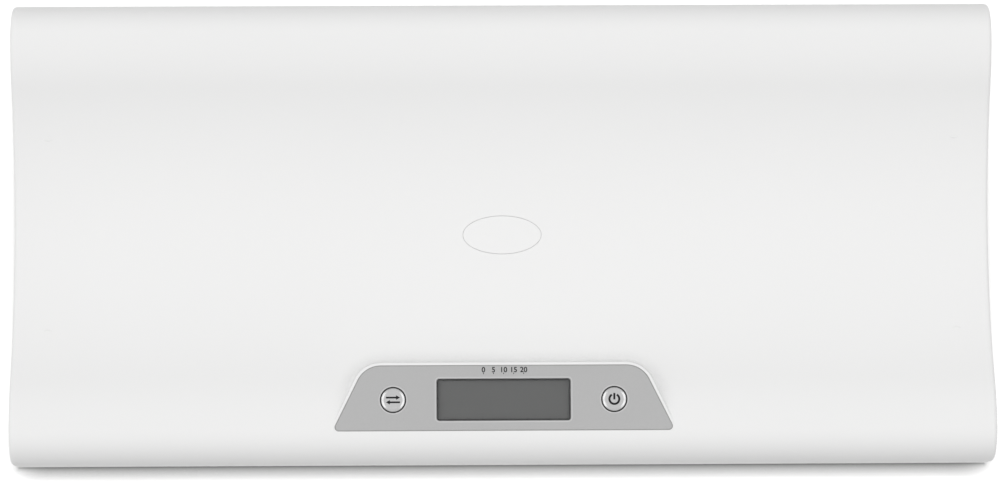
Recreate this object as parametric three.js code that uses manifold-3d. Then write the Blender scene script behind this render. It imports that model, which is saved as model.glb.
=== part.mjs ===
// Digital baby weighing scale: a rolled-edge tray on four weighing feet, a control pod with a
// display and two push buttons on the tray's front slope, and a battery bay underneath.
// Millimetres, +Z up. The origin is on the table under the middle of the tray, and the pod faces -Y.
import * as THREE from 'three';
import { mergeVertices } from 'three/addons/utils/BufferGeometryUtils.js';
import Module from 'manifold-3d';

const wasm = await Module();
wasm.setup();

// Tray: the overall sizes and the arcs of its upper surface in section
const trayWidth = 590;
const trayDepth = 277;
const crestHeight = 65;
const bowlClearance = 11;
const rollRadius = 20;
const crestRadius = 64;
const wall = 2.5;
const draftDegrees = 1;
const edgeRadius = 3;
const cornerRadius = 9;
const insideRadius = 0.5;

// Base: the lower housing under the seam
const seamHeight = 24;
const baseHeight = 10;
const tuckRadius = 12;
const lipHeight = 3;
const lipThickness = 1.4;
const bandHeight = 6;
const ribThickness = 1.6;
const ribHeight = 5;

// Control pod, and the overlay let into its top
const overlayWidth = 205.4;
const overlayDepth = 39.6;
const overlaySetback = 18.9;
const overlaySlantDegrees = 26.5;
const overlayThickness = 0.8;
const overlaySink = 0.1;
const overlayFrontRadius = 2;
const overlayRearRadius = 18;
const podRim = 1.5;
const podFrontRadius = 3.2;
const podRearRadius = 11;
const podEdgeRadius = 0.8;
const podDraftDegrees = 4;
const podFootRadius = 3.5;

// Display: the window, its clear lens and the glass behind it
const windowInset = 62.7;
const windowDepth = 25;
const windowRadius = 1.7;
const windowSetback = 18.8;
const lensLand = 2;
const lensThickness = 1.5;
const glassLand = 2.5;
const glassThickness = 2.8;
const holderWall = 3;
const stripWidth = 2.5;
const stripEndInset = 3;

// Push buttons and the switches under them
const buttonInset = 36.7;
const buttonRadius = 7.85;
const buttonGap = 0.45;
const buttonRise = 0.8;
const buttonBevel = 0.7;
const buttonDish = 0.35;
const buttonTravel = 0.6;
const flangeWidth = 1.5;
const flangeThickness = 1.1;
const keyWidth = 3;
const keyReach = 2;
const stemRadius = 2;
const switchSize = 6;
const switchHeight = 3.5;
const plungerRadius = 1.75;
const plungerRise = 1.5;
const plungerSeat = 1;

// Main board, hung under the pod
const boardDrop = 7.6;
const boardThickness = 1.6;
const boardEnd = 9;
const boardDepth = 36.5;
const boardBossRadius = 2.7;
const boardScrewInset = 10.5;
const boardScrewAlong = 22;
const socketWidth = 7;
const socketDepth = 5;
const socketHeight = 5;
const socketEndInset = 14.5;
const socketsPerSide = 2;
const chipSize = 14;
const chipHeight = 1.2;

// Oval cap in the middle of the bowl
const badgeLength = 48;
const badgeBreadth = 23.3;
const badgeThickness = 1.2;
const badgeCrown = 0.3;
const badgeBevel = 0.35;

// Weighing feet: load cell, foot and rubber pad
const footEndSetback = 63;
const footSideSetback = 46.5;
const wellRadius = 26;
const wellHeight = 18.5;
const cellSize = 34;
const cellThickness = 2.6;
const cellFrame = 5;
const cellSlot = 2;
const cellTongue = 13;
const footRadius = 25;
const footLift = 1.2;
const footFloor = 3.4;
const footWall = 2;
const footRound = 2.2;
const footTop = 13.4;
const footBossRadius = 4.5;
const hookWidth = 6;
const hookThickness = 1.6;
const hookReach = 22.5;
const hookBarb = 1;
const hookHead = 2;
const padRadius = 18;
const padThickness = 2.4;

// Screws: the fitted lengths run from under the head
const housingScrewShank = 1.4;
const housingScrewHead = 2.8;
const housingScrewHeadHeight = 2;
const housingScrewLength = 14;
const housingPostRadius = 4.8;
const housingBossRadius = 3.9;
const housingPostTop = 26;
const housingWebThickness = 4;
const boardScrewShank = 0.9;
const boardScrewHead = 2.1;
const boardScrewHeadHeight = 1.4;
const boardScrewLength = 6;

// Battery bay: four cells side by side, alternately turned
const cellCount = 4;
const batteryRadius = 5.25;
const batteryLength = 43.5;
const nubRadius = 1.9;
const nubHeight = 1;
const batteryPitch = 11.2;
const bayRearward = 34;
const bayWall = 2;
const contactThickness = 0.5;
const contactWidth = 9;
const contactBelow = 3.2;
const contactAbove = 4.2;
const tabWidth = 3;
const tabRise = 3;
const springLength = 4;
const springFootRadius = 3.4;
const springTipRadius = 2.3;
const springWire = 0.7;
const springTurns = 2.5;
const doorThickness = 2.2;
const doorLedge = 3.4;
const doorTabWidth = 8;
const doorTabReach = 2.2;
const doorTabThickness = 1.4;
const doorTabRoot = 1.4;
const latchWidth = 13;
const latchThickness = 1.3;
const latchHeight = 3.2;
const latchNib = 0.8;
const fingerRadius = 9;
const fingerDepth = 1.5;

// Leads inside the housing
const cellLeadRadius = 1.1;
const batteryLeadRadius = 0.7;

// Clearances and the overrun of a cut
const slip = 0.3;
const overrun = 1;

// How finely round shapes are stepped
const cornerSteps = 5;
const filletSteps = 3;
const rollSteps = 7;
const crestSteps = 4;
const bowlSteps = 12;
const insideSteps = 2;
const smallSides = 10;
const screwSides = 8;
const footSides = 20;
const buttonSides = 24;
const ovalSides = 28;
const leadSides = 6;
const leadRings = 2;
const springSides = 5;
const springStepsPerTurn = 8;

const draft = THREE.MathUtils.degToRad(draftDegrees);

// Materials
const paint = (color, roughness, metalness = 0) =>
  new THREE.MeshStandardMaterial({ color, roughness, metalness });
const whiteShell = paint(0xeeeeec, 0.32);
const whiteBase = paint(0xe4e4e2, 0.5);
const silverFilm = paint(0xb8b8b8, 0.42, 0.25);
const silverCap = paint(0xb2b2b3, 0.34, 0.35);
const clearLens = paint(0x8a8c8b, 0.08);
const displayGlass = paint(0x686a69, 0.3);
const greyMoulding = paint(0x77797a, 0.6);
const softBlack = paint(0x1d1d1e, 0.85);
const blackMoulding = paint(0x232324, 0.5);
const boardGreen = paint(0x1f5a35, 0.5);
const rubberGrey = paint(0x8f9192, 0.9);
const cellSteel = paint(0xa9abad, 0.35, 0.9);
const screwSteel = paint(0x9a9b9e, 0.35, 0.9);
const springSteel = paint(0xc6c8ca, 0.25, 0.95);
const batterySleeve = paint(0x30363d, 0.4, 0.2);
const leadRed = paint(0xa5261f, 0.6);
const leadBlack = paint(0x1a1a1b, 0.6);
const leadGrey = paint(0x8b8d8e, 0.6);

const scaleModel = new THREE.Group();

// Turns a closed geometry into a solid that can be joined and cut.
function solid(geometry) {
  const bare = geometry.clone();
  bare.deleteAttribute('normal');
  bare.deleteAttribute('uv');
  const merged = mergeVertices(bare);
  const corners = merged.index.array;
  const triangles = [];
  for (let i = 0; i < corners.length; i += 3) {
    const [a, b, c] = [corners[i], corners[i + 1], corners[i + 2]];
    if (a !== b && b !== c && c !== a) triangles.push(a, b, c);
  }
  return new wasm.Manifold(new wasm.Mesh({
    numProp: 3,
    vertProperties: new Float32Array(merged.attributes.position.array),
    triVerts: new Uint32Array(triangles),
  }));
}

// Turns a solid back into a geometry.
function geometryOf(body) {
  const result = body.getMesh();
  const geometry = new THREE.BufferGeometry();
  geometry.setAttribute('position', new THREE.BufferAttribute(result.vertProperties, 3));
  geometry.setIndex(new THREE.BufferAttribute(result.triVerts, 1));
  geometry.computeVertexNormals();
  return geometry;
}

// Adds a named piece to its parent group.
function addPiece(name, body, material, parent = scaleModel) {
  const piece = new THREE.Mesh(geometryOf(body), material);
  piece.name = name;
  parent.add(piece);
  return piece;
}

const join = (bodies) => bodies.reduce((whole, next) => whole.add(next));
const cutAll = (body, cuts) => cuts.reduce((rest, cut) => rest.subtract(cut), body);

// Runs an outline round a convex polygon with rounded corners: points with their outward normals.
function roundedOutline(corners, radii, steps = cornerSteps) {
  return corners.flatMap((corner, i) => {
    const before = corners[(i + corners.length - 1) % corners.length];
    const after = corners[(i + 1) % corners.length];
    const arriving = corner.clone().sub(before).normalize();
    const leaving = after.clone().sub(corner).normalize();
    const first = new THREE.Vector2(arriving.y, -arriving.x);
    const last = new THREE.Vector2(leaving.y, -leaving.x);
    const centre = first.clone().add(last).multiplyScalar(-radii[i] / (1 + first.dot(last))).add(corner);
    const turn = Math.acos(THREE.MathUtils.clamp(first.dot(last), -1, 1));
    return Array.from({ length: steps + 1 }, (_, k) => {
      const normal = first.clone().rotateAround(new THREE.Vector2(), turn * k / steps);
      return { point: normal.clone().multiplyScalar(radii[i]).add(centre), normal };
    });
  });
}

const offsetPoints = (outline, offset = 0) =>
  outline.map(({ point, normal }) => normal.clone().multiplyScalar(offset).add(point));

// Moves a convex polygon's corners out, so that its sides move by an offset.
function offsetCorners(corners, offset) {
  return corners.map((corner, i) => {
    const before = corners[(i + corners.length - 1) % corners.length];
    const after = corners[(i + 1) % corners.length];
    const arriving = corner.clone().sub(before).normalize();
    const leaving = after.clone().sub(corner).normalize();
    const first = new THREE.Vector2(arriving.y, -arriving.x);
    const last = new THREE.Vector2(leaving.y, -leaving.x);
    return first.clone().add(last).multiplyScalar(offset / (1 + first.dot(last))).add(corner);
  });
}

// A rectangle's corners, anticlockwise, about a centre.
function rectangle(width, depth, x = 0, y = 0) {
  return [[-1, -1], [1, -1], [1, 1], [-1, 1]].map(([across, back]) =>
    new THREE.Vector2(x + across * width / 2, y + back * depth / 2));
}

const roundedRectangle = (width, depth, radius, x = 0, y = 0) =>
  offsetPoints(roundedOutline(rectangle(width, depth, x, y), [radius, radius, radius, radius]));

// A prism on a flat outline, between two heights.
function prism(outline, low, high) {
  const shape = new THREE.Shape(outline);
  const geometry = new THREE.ExtrudeGeometry(shape, { depth: high - low, bevelEnabled: false });
  return solid(geometry.translate(0, 0, low));
}

// A box between two corners.
function box(x0, x1, y0, y1, z0, z1) {
  const geometry = new THREE.BoxGeometry(x1 - x0, y1 - y0, z1 - z0);
  return solid(geometry.translate((x0 + x1) / 2, (y0 + y1) / 2, (z0 + z1) / 2));
}

// An upright round bar between two heights.
function roundBar(radius, low, high, x = 0, y = 0, sides = smallSides) {
  const geometry = new THREE.CylinderGeometry(radius, radius, high - low, sides);
  geometry.rotateX(Math.PI / 2);
  return solid(geometry.translate(x, y, (low + high) / 2));
}

// A turned piece about the upright axis, from a profile of radius and height pairs.
function turned(profile, sides = smallSides) {
  const geometry = new THREE.LatheGeometry(profile.map(([r, z]) => new THREE.Vector2(r, z)), sides);
  return solid(geometry.rotateX(Math.PI / 2));
}

// Skins closed rings of points into a body. The rings run down, or from left to right.
function loft(rings, flatten) {
  const count = rings[0].length;
  const positions = rings.flat().flatMap(({ x, y, z }) => [x, y, z]);
  const faces = [];
  for (let r = 0; r + 1 < rings.length; r++) {
    for (let i = 0; i < count; i++) {
      const next = (i + 1) % count;
      const [a, b] = [r * count + i, (r + 1) * count + i];
      const [c, d] = [(r + 1) * count + next, r * count + next];
      faces.push(a, b, c, a, c, d);
    }
  }
  const cap = (r, reversed) => {
    const flat = rings[r].map(flatten);
    const turn = Math.sign(THREE.ShapeUtils.area(flat)) * (reversed ? -1 : 1);
    for (const [a, b, c] of THREE.ShapeUtils.triangulateShape(flat, [])) {
      const spin = Math.sign(THREE.ShapeUtils.area([flat[a], flat[b], flat[c]]));
      const [second, third] = spin === turn ? [b, c] : [c, b];
      faces.push(r * count + a, r * count + second, r * count + third);
    }
  };
  cap(0, false);
  cap(rings.length - 1, true);
  const geometry = new THREE.BufferGeometry();
  geometry.setAttribute('position', new THREE.Float32BufferAttribute(positions, 3));
  geometry.setIndex(faces);
  return solid(geometry);
}

const fromAbove = ({ x, y }) => new THREE.Vector2(x, y);
const fromEnd = ({ y, z }) => new THREE.Vector2(y, z);

// A tube along a smooth path through points, with as many rings in each span between two of them.
function tube(points, radius, spanRings, sides) {
  const rim = Array.from({ length: sides }, (_, i) =>
    new THREE.Vector2(radius, 0).rotateAround(new THREE.Vector2(), i * 2 * Math.PI / sides));
  const path = new THREE.CatmullRomCurve3(points, false, 'centripetal');
  const steps = spanRings * (points.length - 1);
  const side = points[1].clone().sub(points[0]).cross(points[2].clone().sub(points[0]));
  const rings = Array.from({ length: steps + 1 }, (_, k) => {
    const [centre, tangent] = [path.getPoint(k / steps), path.getTangent(k / steps)];
    side.addScaledVector(tangent, -side.dot(tangent)).normalize();
    const across = side.clone().cross(tangent);
    return rim.map(({ x, y }) => centre.clone().addScaledVector(side, x).addScaledVector(across, y));
  });
  return loft(rings, (_, i) => rim[i]);
}

// Tray section: roll, crest and bowl meet in tangents
const halfDepth = trayDepth / 2;
const crestAcross = halfDepth - rollRadius;
const bowlFloor = seamHeight + bowlClearance;
const slope = 2 * Math.atan((crestHeight - bowlFloor) / crestAcross);
const bowlRadius = crestAcross / Math.sin(slope) - crestRadius;
const bowlHalf = bowlRadius * Math.sin(slope);
const rollHeight = crestHeight - rollRadius;
const skirtAt = (z) => crestAcross + rollRadius / Math.cos(draft) + (rollHeight - z) * Math.tan(draft);
const endAt = (z) => trayWidth / 2 - (z - seamHeight) * Math.tan(draft);
const seamHalfDepth = skirtAt(seamHeight);

// Height of the tray's upper surface at a distance from the middle line.
function trayTop(y) {
  const across = Math.abs(y);
  if (across <= bowlHalf) return bowlFloor + bowlRadius - Math.sqrt(bowlRadius ** 2 - across ** 2);
  if (across <= crestAcross) {
    return crestHeight - crestRadius + Math.sqrt(crestRadius ** 2 - (crestAcross - across) ** 2);
  }
  return rollHeight + Math.sqrt(rollRadius ** 2 - (across - crestAcross) ** 2);
}

// Slope of that surface, as rise over run towards +Y.
function traySlope(y) {
  const across = Math.abs(y);
  if (across <= bowlHalf) return y / Math.sqrt(bowlRadius ** 2 - across ** 2);
  const [radius, past] = [across <= crestAcross ? crestRadius : rollRadius, crestAcross - across];
  return Math.sign(y) * past / Math.sqrt(radius ** 2 - past ** 2);
}

// The section from the front seam over both lips to the rear seam, set inwards by an inset.
// A tilt is the angle between the surface's normal and the -Y direction.
function traySection(inset, low) {
  const arc = (y, z, radius, from, to, steps, hollow = 1) =>
    Array.from({ length: steps + 1 }, (_, k) => {
      const tilt = from + (to - from) * k / steps;
      const [ny, nz] = [-Math.cos(tilt), Math.sin(tilt)];
      const reach = hollow * radius - inset;
      return { y: y + reach * ny, z: z + reach * nz, ny, nz };
    });
  const upright = Math.PI / 2;
  const foot = { y: -skirtAt(low) + inset / Math.cos(draft), z: low, ny: -1 / Math.cos(draft), nz: 0 };
  const front = [
    foot,
    ...arc(-crestAcross, rollHeight, rollRadius, draft, upright, rollSteps),
    ...arc(-crestAcross, crestHeight - crestRadius, crestRadius, upright, upright + slope, crestSteps)
      .slice(1),
    ...arc(0, bowlFloor + bowlRadius, bowlRadius, upright + slope, upright, bowlSteps / 2, -1).slice(1),
  ];
  const rear = front.slice(0, -1).reverse().map(({ y, z, ny, nz }) => ({ y: -y, z, ny: -ny, nz }));
  return [...front, ...rear];
}

// The tray's form, closed at both ends with rounded edges. The rounding grows from the top edge's
// radius to the upright corner's, as the surface turns from facing up to facing front or back.
function trayForm(inset, low, steps) {
  const section = traySection(inset, low);
  const roundAt = (ny) => {
    const radius = edgeRadius + (cornerRadius - edgeRadius) * Math.min(1, Math.abs(ny)) ** 4;
    return Math.max(radius - inset, insideRadius);
  };
  const ring = (side, turn) => section.map(({ y, z, ny, nz }) => {
    const round = roundAt(ny);
    const sink = round * (1 - Math.sin(turn));
    const height = z - nz * sink;
    const reach = endAt(height) - inset - round * (1 - Math.cos(turn));
    return new THREE.Vector3(side * reach, y - ny * sink, height);
  });
  const turns = Array.from({ length: steps + 1 }, (_, k) => k * Math.PI / 2 / steps);
  const rings = [...turns.map((turn) => ring(-1, turn)), ...turns.reverse().map((turn) => ring(1, turn))];
  return loft(rings, fromEnd);
}

// A stiffening rib under the tray, across it, on every other point of the section.
function trayRib(x) {
  const outside = traySection(wall / 2, seamHeight).filter((_, i) => i % 2 === 0);
  const inside = traySection(wall + ribHeight, seamHeight).filter((_, i) => i % 2 === 0).reverse();
  const ring = (side) => [...outside, ...inside].map(({ y, z }) =>
    new THREE.Vector3(x + side * ribThickness / 2, y, z));
  return loft([ring(-1), ring(1)], fromEnd);
}

// Pod: overlay outline, levels and wall
const overlayFront = halfDepth - overlaySetback;
const overlayRear = overlayFront - overlayDepth;
const overlaySlant = overlayDepth * Math.tan(THREE.MathUtils.degToRad(overlaySlantDegrees));
const overlayCorners = [
  new THREE.Vector2(-overlayWidth / 2, -overlayFront),
  new THREE.Vector2(overlayWidth / 2, -overlayFront),
  new THREE.Vector2(overlayWidth / 2 - overlaySlant, -overlayRear),
  new THREE.Vector2(overlaySlant - overlayWidth / 2, -overlayRear),
];
const overlayOutline = roundedOutline(overlayCorners,
  [overlayFrontRadius, overlayFrontRadius, overlayRearRadius, overlayRearRadius]);
const podCorners = offsetCorners(overlayCorners, podRim);
const podOutline = roundedOutline(podCorners,
  [podFrontRadius, podFrontRadius, podRearRadius, podRearRadius]);
const overlayTop = crestHeight - overlaySink;
const overlayBottom = overlayTop - overlayThickness;
const podCeiling = overlayBottom - wall;
const controlLine = windowSetback - overlayFront;
const windowWidth = overlayWidth - 2 * windowInset;
const buttonSpacing = overlayWidth - 2 * buttonInset;
const boardTop = podCeiling - boardDrop;
const boardBottom = boardTop - boardThickness;

// The pod's outer form: a rounded top edge, a drafted wall, and a fillet onto the tray's slope.
function podForm() {
  const podDraft = THREE.MathUtils.degToRad(podDraftDegrees);
  const shoulder = crestHeight - podEdgeRadius;
  const wallOut = (z) => (shoulder - z) * Math.tan(podDraft);
  const columns = podOutline.map(({ point, normal }) => {
    const at = (offset, z) => new THREE.Vector3(
      point.x + normal.x * offset, point.y + normal.y * offset, z);
    const column = [];
    for (let k = 0; k <= filletSteps; k++) {
      const turn = k * Math.PI / 2 / filletSteps;
      const offset = -podEdgeRadius * (1 - Math.sin(turn));
      column.push(at(offset, shoulder + podEdgeRadius * Math.cos(turn)));
    }
    let foot = shoulder;
    for (let k = 0; k < footSides; k++) {
      foot = Math.min(shoulder - podEdgeRadius / 8, trayTop(point.y + normal.y * wallOut(foot)));
    }
    const footY = point.y + normal.y * wallOut(foot);
    const incline = Math.atan(traySlope(footY) * normal.y);
    const opening = Math.PI / 2 + podDraft - incline;
    const round = Math.min(podFootRadius, (shoulder - foot) / 2);
    const tangent = round / Math.tan(opening / 2);
    const wallPoint = [wallOut(foot) - tangent * Math.sin(podDraft), foot + tangent * Math.cos(podDraft)];
    const [fromAngle, toAngle] = [Math.PI + podDraft, 3 * Math.PI / 2 + incline];
    const centre = [wallPoint[0] - round * Math.cos(fromAngle), wallPoint[1] - round * Math.sin(fromAngle)];
    for (let k = 0; k <= filletSteps; k++) {
      const angle = fromAngle + (toAngle - fromAngle) * k / filletSteps;
      column.push(at(centre[0] + round * Math.cos(angle), centre[1] + round * Math.sin(angle)));
    }
    const lowest = column[column.length - 1];
    column.push(new THREE.Vector3(lowest.x, lowest.y, seamHeight + wall));
    return column;
  });
  const rings = columns[0].map((_, level) => columns.map((column) => column[level]));
  return loft(rings, fromAbove);
}

// Places of the housing screws, feet, board screws and buttons
const corners = [
  { name: 'front_left', across: -1, back: -1 },
  { name: 'front_right', across: 1, back: -1 },
  { name: 'rear_left', across: -1, back: 1 },
  { name: 'rear_right', across: 1, back: 1 },
];
const footAcross = trayWidth - 2 * footEndSetback;
const footAlong = trayDepth - 2 * footSideSetback;
const boardScrewAcross = windowWidth + 2 * boardScrewInset;
const socketSpacing = (boardScrewAcross / 2 - socketEndInset) / socketsPerSide;
const endScrewAcross = trayWidth / 2 - tuckRadius - wall - 2 * housingPostRadius + housingScrewHead;
const endScrewAlong = footAlong / 2 - wellRadius - housingPostRadius;
const sideScrewAcross = footAcross / 4;
const sideScrewAlong = halfDepth - tuckRadius - wall - housingPostRadius;
const housingScrewPlaces = corners.flatMap(({ name, across, back }) => [
  { name: `${name}_end`, x: across * endScrewAcross, y: back * endScrewAlong },
  { name: `${name}_side`, x: across * sideScrewAcross, y: back * sideScrewAlong },
]);
const boardScrewPlaces = corners.map(({ name, across, back }) => ({
  name, x: across * boardScrewAcross / 2, y: controlLine + back * boardScrewAlong / 2,
}));
const buttonPlaces = [
  { name: 'unit', x: -buttonSpacing / 2 },
  { name: 'power', x: buttonSpacing / 2 },
];

// Upper housing
const lensWidth = windowWidth + 2 * lensLand;
const lensDepth = windowDepth + 2 * lensLand;
const lensBottom = overlayBottom - lensThickness;
const flangeTop = podCeiling - slip;
const flangeRadius = buttonRadius + flangeWidth;
const badgeBottom = bowlFloor - badgeThickness;
const oval = (grow, share = 1) => Array.from({ length: ovalSides }, (_, i) => {
  const angle = i * 2 * Math.PI / ovalSides;
  return new THREE.Vector2(share * (badgeLength / 2 + grow) * Math.cos(angle),
    share * (badgeBreadth / 2 + grow) * Math.sin(angle));
});

function trayShell() {
  const outer = trayForm(0, seamHeight, cornerSteps).add(podForm());
  const podHollow = prism(offsetPoints(podOutline, -wall), seamHeight, podCeiling);
  const podPlate = prism(offsetPoints(podOutline), podCeiling, crestHeight);
  const cavity = trayForm(wall, seamHeight - overrun, insideSteps).subtract(podPlate).add(podHollow);
  const ribLimits = [
    prism(offsetPoints(podOutline, ribHeight), seamHeight - overrun, crestHeight),
    box(-trayWidth, trayWidth, -trayDepth, trayDepth, 0, seamHeight + lipHeight + overrun),
  ];
  const ribPlaces = [footAcross * 3 / 10, footAcross * 2 / 5];
  const ribs = ribPlaces.flatMap((x) => [trayRib(-x), trayRib(x)]).map((rib) => cutAll(rib, ribLimits));
  const bosses = housingScrewPlaces.map(({ x, y }) =>
    roundBar(housingBossRadius, housingPostTop, crestHeight, x, y).intersect(outer));
  const pilots = housingScrewPlaces.map(({ x, y }) => {
    const pilotTop = housingPostTop - housingWebThickness + housingScrewLength + slip;
    return roundBar(housingScrewShank + slip, housingPostTop - overrun, pilotTop, x, y);
  });
  const boardBosses = boardScrewPlaces.map(({ x, y }) =>
    roundBar(boardBossRadius, boardTop, podCeiling + slip, x, y));
  const boardPilots = boardScrewPlaces.map(({ x, y }) =>
    roundBar(boardScrewShank + slip, boardTop - overrun, podCeiling, x, y));
  const keyNibs = buttonPlaces.flatMap(({ x }) => [-1, 1].map((side) => {
    const inner = x + side * (keyWidth / 2 + slip);
    const outerEdge = inner + side * ribThickness;
    const keyEnd = controlLine - flangeRadius - keyReach;
    return box(Math.min(inner, outerEdge), Math.max(inner, outerEdge), keyEnd, keyEnd + keyReach - slip,
      flangeTop - flangeThickness - buttonTravel, podCeiling + slip);
  }));
  const cuts = [
    prism(offsetPoints(overlayOutline, slip), overlayBottom, crestHeight + overrun),
    prism(roundedRectangle(lensWidth + 2 * slip, lensDepth + 2 * slip, windowRadius + lensLand + slip,
      0, controlLine), lensBottom, crestHeight + overrun),
    prism(roundedRectangle(windowWidth, windowDepth, windowRadius, 0, controlLine),
      podCeiling - overrun, crestHeight),
    ...buttonPlaces.map(({ x }) => roundBar(buttonRadius + buttonGap, podCeiling - overrun,
      crestHeight + overrun, x, controlLine, buttonSides)),
    prism(oval(slip), badgeBottom, crestHeight),
  ];
  const housing = cutAll(outer.subtract(cavity), cuts);
  return cutAll(join([housing, ...ribs, ...bosses, ...boardBosses, ...keyNibs]), [...pilots, ...boardPilots]);
}
addPiece('tray_shell', trayShell(), whiteShell);

// Oval cap: its top follows the bowl and rises a little to the middle
function ovalBadge() {
  const ringAt = (grow, share, height) => oval(grow, share).map(({ x, y }) =>
    new THREE.Vector3(x, y, height(y, share)));
  const crown = (y, share) => trayTop(y) + badgeCrown * (1 - share ** 2);
  const shares = [0, 0.35, 0.7, 1];
  const rings = [
    ...shares.map((share) => ringAt(-badgeBevel, share, crown)),
    ringAt(0, 1, (y) => trayTop(y) - badgeBevel),
    ringAt(0, 1, () => badgeBottom),
  ];
  return loft(rings, fromAbove);
}
addPiece('oval_badge', ovalBadge(), whiteShell);

// Silver overlay with its window and button holes
function panelOverlay() {
  const sheet = prism(offsetPoints(overlayOutline), overlayBottom, overlayTop);
  const [low, high] = [overlayBottom - overrun, overlayTop + overrun];
  return cutAll(sheet, [
    prism(roundedRectangle(windowWidth, windowDepth, windowRadius, 0, controlLine), low, high),
    ...buttonPlaces.map(({ x }) =>
      roundBar(buttonRadius + buttonGap, low, high, x, controlLine, buttonSides)),
  ]);
}
addPiece('panel_overlay', panelOverlay(), silverFilm);

// Controls hang on one line across the pod
const controls = new THREE.Group();
controls.position.set(0, controlLine, 0);
scaleModel.add(controls);

// Display: lens, glass, holder and the two contact strips that join the glass to the board
const glassWidth = windowWidth + 2 * glassLand;
const glassDepth = windowDepth + 2 * glassLand;
const glassTop = podCeiling - slip;
const glassBottom = glassTop - glassThickness;
const stripLength = glassWidth - 2 * stripEndInset;
const stripLine = glassDepth / 2 - stripWidth;
const holderFloor = glassBottom - slip;
addPiece('lcd_window', prism(roundedRectangle(lensWidth, lensDepth, windowRadius + lensLand),
  lensBottom, overlayBottom), clearLens, controls);
addPiece('lcd_panel', prism(rectangle(glassWidth, glassDepth), glassBottom, glassTop),
  displayGlass, controls);

function stripBox(side, grow, low, high) {
  const [halfLength, halfWidth] = [stripLength / 2 + grow, stripWidth / 2 + grow];
  return box(-halfLength, halfLength, side * stripLine - halfWidth, side * stripLine + halfWidth, low, high);
}
function lcdHolder() {
  const around = (margin) => rectangle(glassWidth + 2 * margin, glassDepth + 2 * margin);
  const block = prism(around(holderWall), boardTop, glassTop);
  const pocket = prism(around(slip), holderFloor, glassTop + overrun);
  const hollow = prism(rectangle(stripLength, 2 * stripLine - stripWidth - 2 * ribThickness),
    boardTop - overrun, holderFloor - ribThickness);
  const slots = [-1, 1].map((side) => stripBox(side, slip, boardTop - overrun, glassBottom));
  return cutAll(block, [pocket, hollow, ...slots]);
}
addPiece('lcd_holder', lcdHolder(), greyMoulding, controls);
addPiece('zebra_strip_front', stripBox(-1, 0, boardTop, glassBottom), softBlack, controls);
addPiece('zebra_strip_rear', stripBox(1, 0, boardTop, glassBottom), softBlack, controls);

// Main board with its sockets and chip underneath
const boardWidth = buttonSpacing + 2 * boardEnd;
const socketLine = -boardDepth / 2 + 2 * socketDepth;
const socketPlaces = Array.from({ length: 2 * socketsPerSide + 1 }, (_, i) =>
  (i - socketsPerSide) * socketSpacing);
function mainBoard() {
  const board = prism(rectangle(boardWidth, boardDepth), boardBottom, boardTop);
  const sockets = socketPlaces.map((x) => box(x - socketWidth / 2, x + socketWidth / 2,
    socketLine - socketDepth / 2, socketLine + socketDepth / 2, boardBottom - socketHeight, boardTop - slip));
  const chip = box(-chipSize / 2, chipSize / 2, socketLine + socketDepth, socketLine + socketDepth + chipSize,
    boardBottom - chipHeight, boardTop - slip);
  const holes = boardScrewPlaces.map(({ x, y }) =>
    roundBar(boardScrewShank + slip, boardBottom - overrun, boardTop + overrun, x, y - controlLine));
  return cutAll(join([board, chip, ...sockets]), holes);
}
addPiece('main_board', mainBoard(), boardGreen, controls);

// A pan-headed screw pointing up, from the underside of its head
function screwBody(shank, head, headHeight, length) {
  return turned([
    [0, -headHeight], [head - headHeight / 3, -headHeight], [head, 0],
    [shank, 0], [shank, length - shank], [0, length],
  ], screwSides);
}
for (const { name, x, y } of boardScrewPlaces) {
  const screw = screwBody(boardScrewShank, boardScrewHead, boardScrewHeadHeight, boardScrewLength);
  addPiece(`board_screw_${name}`, screw, screwSteel, controls).position.set(x, y - controlLine, boardBottom);
}

// Push buttons: a dished cap, a keyed flange that holds it in the pod, and a stem on the switch
const switchTop = boardTop + switchHeight;
const plungerTop = switchTop + plungerRise;
function buttonCap() {
  const flangeBottom = flangeTop - flangeThickness;
  const capTop = overlayTop + buttonRise;
  const cap = turned([
    [0, plungerTop], [stemRadius, plungerTop], [stemRadius, flangeBottom], [flangeRadius, flangeBottom],
    [flangeRadius, flangeTop], [buttonRadius, flangeTop], [buttonRadius, capTop - buttonBevel],
    [buttonRadius - buttonBevel, capTop], [buttonRadius * 2 / 3, capTop - buttonDish / 2],
    [0, capTop - buttonDish],
  ], buttonSides);
  const key = box(-keyWidth / 2, keyWidth / 2, -flangeRadius - keyReach, -buttonRadius,
    flangeBottom, flangeTop);
  return cap.add(key);
}
function switchBody() {
  const half = switchSize / 2;
  const boreFloor = switchTop - plungerSeat - buttonTravel - slip;
  const bore = roundBar(plungerRadius + slip, boreFloor, switchTop + overrun);
  return box(-half, half, -half, half, boardTop, switchTop).subtract(bore);
}
for (const { name, x } of buttonPlaces) {
  addPiece(`${name}_button`, buttonCap(), silverCap, controls).position.x = x;
  addPiece(`${name}_plunger`, roundBar(plungerRadius, switchTop - plungerSeat, plungerTop), softBlack,
    controls).position.x = x;
  addPiece(`${name}_switch`, switchBody(), blackMoulding, controls).position.x = x;
}

// Lower housing
const floorTop = baseHeight + wall;
const rimTop = seamHeight - slip;
const wellCeiling = wellHeight + wall;
const baseOutline = (inset, radius) => offsetPoints(roundedOutline(
  rectangle(trayWidth - 2 * inset, 2 * seamHalfDepth - 2 * inset), [radius, radius, radius, radius]));

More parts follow.
